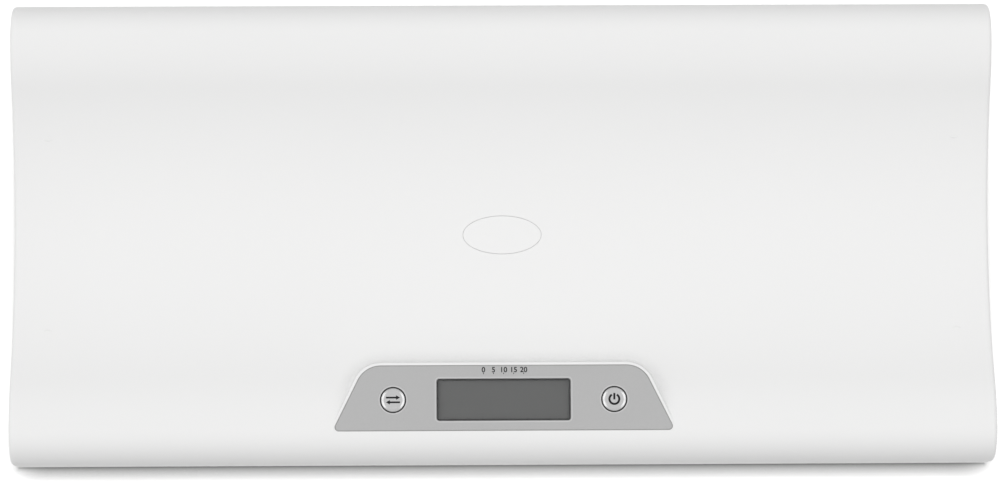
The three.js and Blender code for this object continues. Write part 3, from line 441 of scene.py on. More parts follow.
def panel_corners(offset=0):
    """The panel's four sharp corners, with its sides moved out by an offset."""
    lean = math.tan(panel_slant)
    spread = offset * (math.sqrt(1 + lean ** 2) + lean)
    front, rear = panel_front + offset, panel_rear - offset
    wide = panel_width / 2 + spread
    narrow = wide - (front - rear) * lean
    return [Vector(corner) for corner in ((-wide, -front), (wide, -front), (narrow, -rear), (-narrow, -rear))]


panel_outline = rounded_outline(panel_corners(), panel_corner_radii, pod_corner_steps)
pod_outline = rounded_outline(panel_corners(pod_rim), pod_corner_radii, pod_corner_steps, pod_spacing)


def pod_form():
    """The pod: a rounded top edge, a drafted wall, and a fillet that runs onto the tray's slope."""
    shoulder = crest_height - pod_edge_radius
    edge_steps, foot_steps, tries = 5, 8, 20
    columns = []
    for point, normal in pod_outline:
        def reach(z):
            return (shoulder - z) * math.tan(pod_draft)
        column = [(-pod_edge_radius * (1 - math.sin(turn)), shoulder + pod_edge_radius * math.cos(turn))
                  for turn in evenly(0, right_angle, edge_steps)]
        foot = shoulder
        for _ in range(tries):
            foot = min(shoulder - pod_edge_radius / 8, tray_top(point.y + normal.y * reach(foot)))
        incline = math.atan(tray_rise(point.y + normal.y * reach(foot)) * normal.y)
        opening = right_angle + pod_draft - incline
        rounding = min(pod_foot_radius, (shoulder - foot) / 2)
        tangent = rounding / math.tan(opening / 2)
        start, end = math.pi + pod_draft, 3 * math.pi / 2 + incline
        centre_out = reach(foot) - tangent * math.sin(pod_draft) - rounding * math.cos(start)
        centre_up = foot + tangent * math.cos(pod_draft) - rounding * math.sin(start)
        for angle in evenly(start, end, foot_steps):
            column.append((centre_out + rounding * math.cos(angle), centre_up + rounding * math.sin(angle)))
        column.append((column[-1][0], seam_height + wall))
        columns.append([Vector((point.x + normal.x * out, point.y + normal.y * out, up))
                        for out, up in column])
    return loft([[column[level] for column in columns] for level in range(len(columns[0]))])


# Places that the tray shares with what is let into it
window_width = 80
window_depth = 25
window_radius = 1.7
control_setback = 18.1
control_line = control_setback - panel_front
lens_land = 2
lens_thickness = 1.5
lens_bottom = panel_bottom - lens_thickness
button_spacing = 132
button_radius = 7.2
button_gap = 0.6
badge_length = 47.3
badge_breadth = 23
badge_gap = 0.12
badge_thickness = 1.2
flange_radius = 9.35
key_half_width = 1.5
key_reach = 2
fine_softening = 0.15
window_outline = rounded_outline(rectangle(window_width, window_depth, 0, control_line), [window_radius] * 4)
button_holes = [round_outline(button_radius + button_gap, side * button_spacing / 2, control_line, sides=96)
                for side in (-1, 1)]
corner_signs = ((-1, -1), (1, -1), (-1, 1), (1, 1))
end_screw = (tray_width / 2 - 21.3, 61.2)
side_screw = (116, tray_depth / 2 - 19.3)
screw_places = [(across * x, back * y) for across, back in corner_signs for x, y in (end_screw, side_screw)]
post_top = 26
screw_seat = 22
screw_shank = 1.4
screw_length = 14
board_depth_under_pod = 7.6
board_top = pod_ceiling - board_depth_under_pod
board_screw_spot = (50.5, 11)
board_screw_places = [(across * board_screw_spot[0], control_line + back * board_screw_spot[1])
                      for across, back in corner_signs]


def oval_outline(grow=0, sides=96):
    made = []
    for cosine, sine in round_circle(sides):
        x, y = badge_length / 2 * cosine, badge_breadth / 2 * sine
        normal = Vector((x / (badge_length / 2) ** 2, y / (badge_breadth / 2) ** 2)).normalized()
        made.append((Vector((x, y)) + normal * grow, normal))
    return made


def on_bowl(points, rise=0):
    return [Vector((point.x, point.y, tray_top(point.y) + rise)) for point in points]


def oval_recess():
    """The cutter of the cap's recess, whose edge rounds over into the bowl."""
    outline = oval_outline(badge_gap)
    rings = [at_height(set_out(outline), bowl_floor - badge_thickness)]
    for turn in evenly(0, right_angle, 4):
        rings.append(on_bowl(set_out(outline, fine_softening * (1 - math.cos(turn))),
                             -fine_softening * (1 - math.sin(turn))))
    rings.append(at_height(set_out(outline, fine_softening), bowl_floor + wall))
    return loft(rings)


def as_mesh(name, body):
    """A mesh in metres from a body in millimetres, with its faces turned outwards."""
    points, faces = body
    mesh = bpy.data.meshes.new(name)
    mesh.from_pydata([point * MM for point in points], [], faces)
    work = bmesh.new()
    work.from_mesh(mesh)
    bmesh.ops.recalc_face_normals(work, faces=work.faces)
    work.to_mesh(mesh)
    work.free()
    return mesh


def smooth(mesh, sharp_angle):
    mesh.shade_smooth()
    mesh.set_sharp_from_angle(angle=math.radians(sharp_angle))


def coat(mesh, *finishes):
    mesh.materials.clear()
    for finish in finishes:
        mesh.materials.append(finish)


def new_piece(name, mesh, sharp_angle=30):
    """A piece of the scale: smooth shaded, with its real edges kept sharp."""
    mesh.name = name
    smooth(mesh, sharp_angle)
    return put_up(name, mesh)


def machined(name, body, *steps):
    """Joins bodies to a body and cuts others out of it, in order.
    A step is "UNION" or "DIFFERENCE" with its body."""
    stock = put_up(name, as_mesh(name, body))
    tools = []
    for operation, tool_body in steps:
        tool = put_up("tool", as_mesh("tool", tool_body))
        work = stock.modifiers.new("work", "BOOLEAN")
        work.solver = "MANIFOLD"
        work.operation = operation
        work.object = tool
        tools.append(tool)
    bpy.context.view_layer.update()
    made = bpy.data.meshes.new_from_object(stock.evaluated_get(bpy.context.evaluated_depsgraph_get()))
    for spent in (stock, *tools):
        spare = spent.data
        bpy.data.objects.remove(spent)
        bpy.data.meshes.remove(spare)
    return made


def even_shading(piece):
    """Lets the large faces rule the shading along their edges, as on a moulded surface."""
    weighting = piece.modifiers.new("even_shading", "WEIGHTED_NORMAL")
    weighting.keep_sharp = True
    weighting.weight = 50


rib_half = 0.8
rib_depth = 5
rib_bottom = seam_height + 4
rib_spots = (-185.6, -139.2, 139.2, 185.6)


def stiffening_rib(x):
    """A rib across the tray's underside, which follows its section."""
    section = tray_section(wall / 2, rib_bottom, 2) + tray_section(wall + rib_depth, rib_bottom, 2)[::-1]
    return loft([[Vector((x + side * rib_half, y, z)) for y, z, _, _ in section] for side in (-1, 1)])


guide_thickness = 1.6
guide_height = 2


def key_guides():
    """A small block on each side of either button's key, which keep the button from turning."""
    made = []
    flange_front = control_line - flange_radius
    inside = key_half_width + slip
    for middle in (-button_spacing / 2, button_spacing / 2):
        for side in (-1, 1):
            near, far = sorted(middle + side * distance for distance in (inside, inside + guide_thickness))
            made.append(block(near, far, flange_front - key_reach, flange_front - slip,
                              pod_ceiling - guide_height, pod_ceiling + slip))
    return made


pod_plate = prism(set_out(pod_outline, -pod_edge_radius), pod_ceiling, crest_height - 1)
pod_hollow = prism(set_out(pod_outline, -wall), seam_height - 1, pod_ceiling)
panel_recess = grown(panel_outline, panel_gap)
pocket_land = lens_land + slip
lens_pocket = rounded_outline(rectangle(window_width + 2 * pocket_land, window_depth + 2 * pocket_land,
                                        0, control_line), [window_radius + pocket_land] * 4)
boss_radius = 3.9
boss_limit = 64
board_boss_radius = 2.7
board_hole_radius = 1.2
tray_mesh = machined(
    "tray", tray_form(0, seam_height, fineness=4, end_steps=8, bays=40),
    ("UNION", pod_form()),
    ("DIFFERENCE", tray_form(wall, seam_height - 1, fineness=2, end_steps=3, bays=1)),
    ("UNION", pod_plate),
    ("DIFFERENCE", pod_hollow),
    *[("UNION", stiffening_rib(x)) for x in rib_spots],
    ("UNION", together(key_guides())),
    ("UNION", together([bar(boss_radius, post_top, min(tray_top(y), boss_limit) - 1, x, y)
                        for x, y in screw_places])),
    ("UNION", together([bar(board_boss_radius, board_top, pod_ceiling + slip, x, y)
                        for x, y in board_screw_places])),
    ("DIFFERENCE", together([bar(screw_shank + slip, post_top - 1, screw_seat + screw_length + slip, x, y)
                             for x, y in screw_places])),
    ("DIFFERENCE", together([bar(board_hole_radius, board_top - 1, pod_ceiling, x, y)
                             for x, y in board_screw_places])),
    ("DIFFERENCE", softened_hole(panel_recess, panel_bottom, crest_height, fine_softening)),
    ("DIFFERENCE", prism(set_out(lens_pocket), lens_bottom, crest_height)),
    ("DIFFERENCE", prism(set_out(window_outline), pod_ceiling - 1, crest_height)),
    ("DIFFERENCE", together([prism(set_out(hole), pod_ceiling - 1, crest_height) for hole in button_holes])),
    ("DIFFERENCE", oval_recess()),
)
tray = new_piece("tray_moulding", tray_mesh)
even_shading(tray)
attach(tray, "scale_body")
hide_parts("tray_shell")


def effect_group(name, inputs, outputs):
    """A shader group with named sockets, and its inner ends: inputs are (name, kind, value)."""
    group = bpy.data.node_groups.new(name, "ShaderNodeTree")
    for label, kind, value in inputs:
        socket = group.interface.new_socket(label, in_out="INPUT", socket_type="NodeSocket" + kind)
        socket.default_value = value
    for label, kind in outputs:
        group.interface.new_socket(label, in_out="OUTPUT", socket_type="NodeSocket" + kind)
    return group, add_node(group, "NodeGroupInput").outputs, add_node(group, "NodeGroupOutput").inputs


def noise(tree, place, scale, detail=2, distortion=0):
    """A noise from 0 to 1 about a place, with so many waves a metre."""
    made = add_node(tree, "ShaderNodeTexNoise")
    tree.links.new(place, made.inputs["Vector"])
    feed(tree, made.inputs["Scale"], scale)
    made.inputs["Detail"].default_value = detail
    made.inputs["Distortion"].default_value = distortion
    return made.outputs[0]


def raised(tree, height, depth):
    """A bump of a height from 0 to 1 times a depth in millimetres, as a normal."""
    bump = add_node(tree, "ShaderNodeBump")
    tree.links.new(height, bump.inputs["Height"])
    if isinstance(depth, bpy.types.NodeSocket):
        tree.links.new(reckon(tree, "MULTIPLY", depth, MM), bump.inputs["Distance"])
    else:
        bump.inputs["Distance"].default_value = depth * MM
    return bump.outputs["Normal"]


def scaled_colour(tree, colour, factor):
    made = add_node(tree, "ShaderNodeVectorMath", operation="SCALE")
    tree.links.new(colour, made.inputs[0])
    tree.links.new(factor, made.inputs["Scale"])
    return made.outputs[0]


# The surface of a moulded part: slow clouds in its colour, fine grain from the steel mould, and
# patches that hands have polished or dulled.
moulded, given, gives = effect_group(
    "moulded_surface",
    [("Colour", "Color", (0.8, 0.8, 0.8, 1)), ("Cloudiness", "Float", 0.01), ("Grain Size", "Float", 0.6),
     ("Grain Depth", "Float", 0.004), ("Roughness", "Float", 0.4), ("Handling", "Float", 0.05)],
    [("Colour", "Color"), ("Roughness", "Float"), ("Normal", "Vector")])
place = own_place(moulded)
cloud = reckon(moulded, "SUBTRACT", noise(moulded, place, 11, detail=3), 0.5)
shade = reckon(moulded, "MULTIPLY_ADD", cloud, reckon(moulded, "MULTIPLY", given["Cloudiness"], 2), 1)
moulded.links.new(scaled_colour(moulded, given["Colour"], shade), gives["Colour"])
smudge = reckon(moulded, "SUBTRACT", noise(moulded, place, 38, detail=4, distortion=0.6), 0.5)
handled = reckon(moulded, "MULTIPLY_ADD", smudge, given["Handling"], given["Roughness"])
moulded.links.new(handled, gives["Roughness"])
grain = noise(moulded, place, reckon(moulded, "DIVIDE", 1 / MM, given["Grain Size"]), detail=3)
moulded.links.new(raised(moulded, grain, given["Grain Depth"]), gives["Normal"])

# Wear that takes the edges first, also used as a painted highlight along them: a mask over rounded and sharp
# edges, broken up by noise.
edge_wear_and_highlight_group, given, gives = effect_group("edge_wear_and_painted_highlight", [("Width", "Float", 0.4), ("Strength", "Float", 3)],
                                  [("Mask", "Float")])
edge_finder = add_node(edge_wear_and_highlight_group, "ShaderNodeBevel", samples=4)
edge_wear_and_highlight_group.links.new(reckon(edge_wear_and_highlight_group, "MULTIPLY", given["Width"], MM), edge_finder.inputs["Radius"])
agreement = add_node(edge_wear_and_highlight_group, "ShaderNodeVectorMath", operation="DOT_PRODUCT")
edge_wear_and_highlight_group.links.new(edge_finder.outputs[0], agreement.inputs[0])
edge_wear_and_highlight_group.links.new(add_node(edge_wear_and_highlight_group, "ShaderNodeNewGeometry").outputs["True Normal"], agreement.inputs[1])
patches = noise(edge_wear_and_highlight_group, own_place(edge_wear_and_highlight_group), 900, detail=4)
bend = reckon(edge_wear_and_highlight_group, "MULTIPLY", reckon(edge_wear_and_highlight_group, "SUBTRACT", 1, agreement.outputs["Value"]), given["Strength"])
patchy = reckon(edge_wear_and_highlight_group, "MULTIPLY_ADD", patches, 1.6, -0.2)
mask = add_node(edge_wear_and_highlight_group, "ShaderNodeClamp")
edge_wear_and_highlight_group.links.new(reckon(edge_wear_and_highlight_group, "MULTIPLY", bend, patchy), mask.inputs[0])
edge_wear_and_highlight_group.links.new(mask.outputs[0], gives["Mask"])

# Dust that settles where the air stays still, and painted shade: a mask over grooves, wells and inner corners
# that darkens the colour there.
dust_and_shade_group, given, gives = effect_group("dust_and_painted_shade", [("Reach", "Float", 4), ("Amount", "Float", 0.3)],
                                   [("Mask", "Float")])
corner_occlusion = add_node(dust_and_shade_group, "ShaderNodeAmbientOcclusion", samples=4)
dust_and_shade_group.links.new(reckon(dust_and_shade_group, "MULTIPLY", given["Reach"], MM), corner_occlusion.inputs["Distance"])
specks = noise(dust_and_shade_group, own_place(dust_and_shade_group), 420, detail=5)
darkened_share = reckon(dust_and_shade_group, "MULTIPLY", reckon(dust_and_shade_group, "SUBTRACT", 1, corner_occlusion.outputs["AO"]), given["Amount"])
dust_and_shade_group.links.new(reckon(dust_and_shade_group, "MULTIPLY", darkened_share, reckon(dust_and_shade_group, "ADD", specks, 0.5)), gives["Mask"])


def new_finish(name, roughness=0.5, metallic=0.0, **plain):
    """A material with its tree and its Principled shader; plain sockets are set on the shader itself."""
    material = bpy.data.materials.new(name)
    material.use_nodes = True
    shader = material.node_tree.nodes["Principled BSDF"]
    shader.inputs["Roughness"].default_value = roughness
    shader.inputs["Metallic"].default_value = metallic
    for socket, value in plain.items():
        shader.inputs[socket.replace("_", " ")].default_value = value
    return material, material.node_tree, shader


def place_group(tree, group, **values):
    """Puts an effect group in a material with its own values."""
    made = add_node(tree, "ShaderNodeGroup", node_tree=group)
    for socket, value in values.items():
        made.inputs[socket.replace("_", " ")].default_value = value
    return made


def link_surface(tree, shader, colour, surface):
    """Gives a shader its colour, and the roughness and the normal of a moulded surface."""
    tree.links.new(colour, shader.inputs["Base Color"])
    tree.links.new(surface.outputs["Roughness"], shader.inputs["Roughness"])
    tree.links.new(surface.outputs["Normal"], shader.inputs["Normal"])


dust_and_shade_darkness = 0.75


def moulded_plastic(name, colour, roughness, cloudiness, grain_size, grain_depth, handling=0.05, dust_and_shade=0.15,
                    dust_and_shade_reach=4, **plain):
    """A finish for a moulded part: its surface, and dust and painted shade in its corners."""
    material, tree, shader = new_finish(name, roughness, **plain)
    surface = place_group(tree, moulded, Colour=(*colour, 1), Cloudiness=cloudiness, Grain_Size=grain_size,
                          Grain_Depth=grain_depth, Roughness=roughness, Handling=handling)
    dust_and_shade_mask = place_group(tree, dust_and_shade_group, Reach=dust_and_shade_reach, Amount=dust_and_shade).outputs["Mask"]
    dusted_and_shaded_colour = [dust_and_shade_darkness * level for level in colour]
    tint = blend_colours(tree, dust_and_shade_mask, surface.outputs["Colour"], dusted_and_shaded_colour)
    link_surface(tree, shader, tint, surface)
    return material


tray_white = (0.895, 0.895, 0.892)
# On the tray the dust amount and reach are large, so the mask paints shade next to the pod's walls and in its
# corners.
tray_finish = moulded_plastic("smooth_white_plastic", tray_white, roughness=0.5, cloudiness=0.006,
                              grain_size=0.9, grain_depth=0.0022, handling=0.07, dust_and_shade=1.8, dust_and_shade_reach=9)
coat(tray_mesh, tray_finish)

# Oval cap
# A white cap pressed into the middle of the trough over the screw and the gate mark. Its top follows
# the bowl and swells a little; its face is left smooth and bare.
badge_crown = 0.3
badge_bevel = 0.2


def oval_cap():
    """The cap from its crown down to its underside."""
    def face(share, rise):
        return [Vector((point.x * share, point.y * share, tray_top(point.y * share) + rise))
                for point, _ in oval_outline(-badge_bevel)]
    rings = [face(share, badge_crown * (1 - share ** 2)) for share in (0.02, 0.2, 0.4, 0.6, 0.8, 0.92, 1)]
    for turn in evenly(0, right_angle, 5)[1:]:
        rings.append(on_bowl(set_out(oval_outline(-badge_bevel * (1 - math.sin(turn)))),
                             -badge_bevel * (1 - math.cos(turn))))
    rings.append(at_height(set_out(oval_outline()), bowl_floor - badge_thickness))
    return loft(rings)


cap = new_piece("oval_cap", as_mesh("oval_cap", oval_cap()), sharp_angle=50)
coat(cap.data, moulded_plastic("satin_white_plastic", tray_white, roughness=0.42, cloudiness=0.006,
                               grain_size=0.7, grain_depth=0.003, dust_and_shade=0.1))
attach(cap, "scale_body")
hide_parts("oval_badge")

# Silver panel
# A stiff sheet with a satin silver coating, stuck into the pod's shallow recess. Its window and button holes
# are punched, which leaves a small roll round each of them; a lighter colour paints a highlight along each
# roll.
sheet_edge = 0.18
window_roll = 0.45
hole_roll = 0.22


def soft_slab(outline, low, high, low_softening, high_softening, steps=3):
    """A slab whose lower and upper edges are rounded over; an outline is points with normals."""
    rings = []
    turns = evenly(0, right_angle, steps)
    if low_softening:
        rings += [at_height(set_out(outline, low_softening * (math.sin(turn) - 1)),
                            low + low_softening * (1 - math.cos(turn))) for turn in turns]
    else:
        rings.append(at_height(set_out(outline), low))
    if high_softening:
        rings += [at_height(set_out(outline, high_softening * (math.cos(turn) - 1)),
                            high - high_softening * (1 - math.sin(turn))) for turn in turns]
    else:
        rings.append(at_height(set_out(outline), high))
    return loft(rings)


def flat_ring(outline, inner, outer, low, high):
    """A thin ring that follows an outline of points with normals, between two offsets from it."""
    points, faces = [], []
    for offset, z in ((inner, low), (inner, high), (outer, high), (outer, low)):
        points += at_height(set_out(outline, offset), z)
    count = len(outline)
    for ring in range(4):
        here, beyond = ring * count, (ring + 1) % 4 * count
        for i in range(count):
            after = (i + 1) % count
            faces.append((here + i, here + after, beyond + after, beyond + i))
    return points, faces


panel_mesh = machined(
    "silver_panel", soft_slab(panel_outline, panel_bottom, panel_top, 0, sheet_edge),
    ("DIFFERENCE", softened_hole(window_outline, panel_bottom - 1, panel_top, window_roll)),
    *[("DIFFERENCE", softened_hole(hole, panel_bottom - 1, panel_top, hole_roll)) for hole in button_holes])
# A ring of grey glue at the bottom of the gap round the panel, whose darkness also paints the shade in that
# gap.
glue_height = 0.3
hair = 0.02
glue_and_gap_shade_line = new_piece("panel_glue_and_gap_shade", as_mesh("panel_glue_and_gap_shade", flat_ring(
    panel_outline, hair, panel_gap - hair, panel_bottom, panel_bottom + glue_height)))
coat(glue_and_gap_shade_line.data, moulded_plastic("panel_glue_and_painted_shade", (0.42, 0.42, 0.415), roughness=0.7, cloudiness=0.05,
                                     grain_size=1.2, grain_depth=0.02))
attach(glue_and_gap_shade_line, "scale_body")
panel = new_piece("silver_panel", panel_mesh)
even_shading(panel)
silver_coat, tree, shader = new_finish("satin_silver_coat", roughness=0.6, metallic=0.2)
surface = place_group(tree, moulded, Colour=(0.48, 0.48, 0.48, 1), Cloudiness=0.02, Grain_Size=0.35,
                      Grain_Depth=0.003, Roughness=0.6, Handling=0.08)
bare_and_highlit_edge_colour = (0.8, 0.8, 0.8)
flakes_per_metre = 5200


def flaked_colour(tree, surface, variation, edge_width, edge_wear_and_highlight):
    """The colour of a silver coat: fine flakes that vary in brightness, worn away and lightened along the
    edges, partly as a painted highlight.
    """
    flake = noise(tree, own_place(tree), flakes_per_metre, detail=1)
    brightness = reckon(tree, "MULTIPLY_ADD", flake, variation, 1 - variation / 2)
    flaked = scaled_colour(tree, surface.outputs["Colour"], brightness)
    edge_mask = place_group(tree, edge_wear_and_highlight_group, Width=edge_width, Strength=edge_wear_and_highlight).outputs["Mask"]
    return blend_colours(tree, edge_mask, flaked, bare_and_highlit_edge_colour)


# On the panel the edge mask is wide and strong: its light colour paints a bright line along the sheet's edges
# and round its holes, a painted highlight.
flaked_silver = flaked_colour(tree, surface, variation=0.24, edge_width=0.5, edge_wear_and_highlight=3.5)
link_surface(tree, shader, flaked_silver, surface)
coat(panel_mesh, silver_coat)
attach(panel, "scale_body")
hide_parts("panel_overlay")

# The punched edges, pressed up a little into rims round the window and both buttons, coloured a lighter
# silver than the panel as a painted highlight.
rim_width = 0.6
rim_height = 0.06
rims = [flat_ring(outline, roll, roll + rim_width, panel_top - rim_height, panel_top + rim_height)
        for outline, roll in ((window_outline, window_roll), *[(hole, hole_roll) for hole in button_holes])]
rims_with_painted_highlight = new_piece("rims_with_painted_highlight", as_mesh("rims_with_painted_highlight", together(rims)))
coat(rims_with_painted_highlight.data, moulded_plastic("silver_rim_painted_highlight", (0.58, 0.58, 0.58), roughness=0.4,
                                        cloudiness=0.03, grain_size=0.3, grain_depth=0.002, dust_and_shade=0,
                                        Metallic=0.2))
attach(rims_with_painted_highlight, "scale_body")

# The printed row over the window: plain numbers above small strokes, in a very dark grey ink.
ink_thickness = 0.03
row_numbers = (0, 5, 10, 15, 20)
row_pitch = 6
row_height = 3.1
row_weight = 0.09
row_line = -83.7
size_per_height = 1.42
numbers_up = 0.55
stroke_top = 1.1
stroke_foot = 1.9
stroke_width = 0.45


def stroke(centres, widths, surface):
    """A printed stroke along points, of a width at each, lying on a surface given as height at (x, y)."""
    left, right = [], []
    for k, (point, width) in enumerate(zip(centres, widths)):
        along = (centres[min(k + 1, len(centres) - 1)] - centres[max(k - 1, 0)]).normalized()
        across = Vector((-along.y, along.x)) * width / 2
        left.append(point + across)
        right.append(point - across)
    points, faces = [], []
    for rise in (0, ink_thickness):
        points += [Vector((p.x, p.y, surface(p.x, p.y) + rise)) for side in (left, right) for p in side]
    count = len(centres)
    for k in range(count - 1):
        a, b, c, d = k, k + 1, count + k + 1, count + k
        top = 2 * count
        faces += [(a, b, c, d), (top + d, top + c, top + b, top + a), (a, top + a, top + b, b),
                  (d, c, top + c, top + d)]
    faces += [(0, count, 3 * count, 2 * count), (count - 1, 3 * count - 1, 4 * count - 1, 2 * count - 1)]
    return points, faces


def typed_number(value, x, y, height):
    """A plain number as a thin raised mesh, centred on (x, y)."""
    text = bpy.data.curves.new("number", "FONT")
    text.body = str(value)
    text.size = height * size_per_height * MM
    text.align_x, text.align_y = "CENTER", "CENTER"
    text.extrude = ink_thickness / 2 * MM
    text.offset = row_weight * MM
    carrier = put_up("number", text)
    carrier.location = Vector((x, y, panel_top + ink_thickness / 2)) * MM
    bpy.context.view_layer.update()
    made = bpy.data.meshes.new_from_object(carrier.evaluated_get(bpy.context.evaluated_depsgraph_get()))
    made.transform(carrier.matrix_world)
    bpy.data.objects.remove(carrier)
    bpy.data.curves.remove(text)
    return made


def merged(name, meshes):
    """Several meshes as one."""
    work = bmesh.new()
    for mesh in meshes:
        work.from_mesh(mesh)
        bpy.data.meshes.remove(mesh)
    made = bpy.data.meshes.new(name)
    work.to_mesh(made)
    work.free()
    return made


row_parts = []
for step, value in enumerate(row_numbers):
    x = (step - (len(row_numbers) - 1) / 2) * row_pitch
    row_parts.append(typed_number(value, x, row_line + numbers_up, row_height))
    tick = [Vector((x, row_line - stroke_top)), Vector((x, row_line - stroke_foot))]
    row_parts.append(as_mesh("tick", stroke(tick, [stroke_width] * 2, lambda x, y: panel_top)))
printed_row = new_piece("printed_numbers", merged("printed_numbers", row_parts))
ink = moulded_plastic("grey_ink", (0.012, 0.012, 0.013), roughness=0.6, cloudiness=0.08, grain_size=0.15,
                      grain_depth=0.004, dust_and_shade=0, Specular_IOR_Level=0.2)
coat(printed_row.data, ink)
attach(printed_row, "scale_body")

# Display
# A clear window is dropped into the pod under the panel. Behind it lies the unlit grey display
# glass in its moulded holder, joined to the board by two rubber contact strips.
lens_outline = rounded_outline(rectangle(window_width + 2 * lens_land, window_depth + 2 * lens_land, 0,
                                         control_line), [window_radius + lens_land] * 4)
lens = new_piece("display_window", as_mesh("display_window", soft_slab(
    lens_outline, lens_bottom, panel_bottom, fine_softening, fine_softening)))
even_shading(lens)
clear_finish, tree, shader = new_finish("clear_window", roughness=0.05, Base_Color=(0.96, 0.97, 0.965, 1),
                                        Transmission_Weight=1.0, IOR=1.4)
scuffs = noise(tree, own_place(tree), 260, detail=6, distortion=1.5)
tree.links.new(reckon(tree, "MULTIPLY_ADD", scuffs, 0.04, 0.005), shader.inputs["Roughness"])
path = add_node(tree, "ShaderNodeLightPath")
lets_light_pass = reckon(tree, "MAXIMUM", path.outputs["Is Shadow Ray"], path.outputs["Is Diffuse Ray"])
see_through = add_node(tree, "ShaderNodeBsdfTransparent")
blend_shaders(tree, lets_light_pass, shader.outputs[0], see_through.outputs[0])
coat(lens.data, clear_finish)
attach(lens, "scale_body")
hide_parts("lcd_window")


def dress_node(name, finish, softening):
    """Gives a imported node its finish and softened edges."""
    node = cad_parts[name]
    if not node.data.materials:
        node.data.materials.append(finish)
    for place in range(len(node.data.materials)):
        node.data.materials[place] = finish
    edges = node.modifiers.new("softened_edges", "BEVEL")
    edges.width = softening * MM
    edges.segments = 2
    edges.limit_method = "ANGLE"
    edges.angle_limit = math.radians(30)
    edges.harden_normals = False


# A black line printed round the underside of the window, which hides the edge of its ledge and paints the
# shade along the window's edge.
border_width = 1.1
window_border_and_shade = new_piece("window_border_and_shade", as_mesh("window_border_and_shade", flat_ring(
    window_outline, -border_width, -hair, lens_bottom - 2 * ink_thickness, lens_bottom - ink_thickness)))
coat(window_border_and_shade.data, ink)
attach(window_border_and_shade, "scale_body")

# The display glass: a polariser with faint threads in its colour, and a painted shade that darkens it towards
# its two ends.
painted_end_shade_width = 3.5
display_finish, tree, shader = new_finish("display_glass", roughness=0.3)
surface = place_group(tree, moulded, Colour=(0.070, 0.0705, 0.070, 1), Cloudiness=0.03, Grain_Size=0.4,
                      Grain_Depth=0.001, Roughness=0.32, Handling=0.03)
place = own_place(tree)
threads = add_node(tree, "ShaderNodeTexWave", wave_type="BANDS", bands_direction="X")
tree.links.new(place, threads.inputs["Vector"])
threads.inputs["Scale"].default_value = 900
threads.inputs["Distortion"].default_value = 1.5
shade = reckon(tree, "MULTIPLY_ADD", threads.outputs["Fac"], 0.03, 0.985)
painted_end_shade = add_node(tree, "ShaderNodeMapRange")
tree.links.new(reckon(tree, "ABSOLUTE", along_axes(tree, place)["X"]), painted_end_shade.inputs["Value"])
for socket, value in (("From Min", (window_width / 2 - painted_end_shade_width) * MM),
                      ("From Max", window_width / 2 * MM), ("To Min", 1), ("To Max", 0.5)):
    painted_end_shade.inputs[socket].default_value = value
shade = reckon(tree, "MULTIPLY", shade, painted_end_shade.outputs[0])
link_surface(tree, shader, scaled_colour(tree, surface.outputs["Colour"], shade), surface)
dress_node("lcd_panel", display_finish, softening=0.1)
holder_finish = moulded_plastic("grey_moulding", (0.19, 0.195, 0.2), roughness=0.6, cloudiness=0.03,
                                grain_size=0.5, grain_depth=0.01)
dress_node("lcd_holder", holder_finish, softening=0.2)
strip_rubber = moulded_plastic("strip_rubber", (0.02, 0.02, 0.021), roughness=0.85, cloudiness=0.1,
                               grain_size=0.2, grain_depth=0.01)
dress_node("zebra_strip_front", strip_rubber, softening=0.15)
dress_node("zebra_strip_rear", strip_rubber, softening=0.15)

# Push buttons
# Two round caps, moulded and coated silver, dished on top for a fingertip. A keyed flange
# holds each in the pod, and a stem under it rests on the switch, which pushes it back up.
cap_rise = 0.8
cap_top = panel_top + cap_rise
cap_dish = 0.35
cap_shoulder_arcs = ((0.35, 0, 45), (5, 45, 66), (1, 66, 90))
flange_top = pod_ceiling - slip
flange_thickness = 1.1
stem_radius = 2
switch_height = 5
plunger_top = board_top + switch_height


def turned(profile, x=0, y=0, sides=64):
    """A turned body about an upright axis, from (radius, height) pairs that start and end on the axis."""
    circle = round_circle(sides)
    points, rings = [], []
    for radius, z in profile:
        if radius == 0:
            points.append(Vector((x, y, z)))
            rings.append([len(points) - 1] * sides)
        else:
            rings.append(list(range(len(points), len(points) + sides)))
            points += [Vector((x + radius * cosine, y + radius * sine, z)) for cosine, sine in circle]
    faces = []
    for lower, upper in zip(rings, rings[1:]):
        for k in range(sides):
            face = [lower[k], lower[(k + 1) % sides], upper[(k + 1) % sides], upper[k]]
            faces.append(tuple(dict.fromkeys(face)))
    return points, faces


def quarter(radius, z, size, start, end, steps=6):
    """Points on a quarter round about (radius, z), between two angles in degrees."""
    angles = [math.radians(degrees) for degrees in evenly(start, end, steps)]
    return [(radius + size * math.cos(angle), z + size * math.sin(angle)) for angle in angles]


cap_shoulder = [(button_radius, 0)]
for size, start, end in cap_shoulder_arcs:
    out, up = cap_shoulder[-1]
    inwards, down = size * math.cos(math.radians(start)), size * math.sin(math.radians(start))
    cap_shoulder += quarter(out - inwards, up - down, size, start, end)[1:]
dish_radius, shoulder_rise = cap_shoulder[-1]
coat_end = cap_top - shoulder_rise


def dished(x, y):
    """Height of a button's dished top at a place measured from its axis."""
    return cap_top - cap_dish * (1 - (x ** 2 + y ** 2) / dish_radius ** 2)


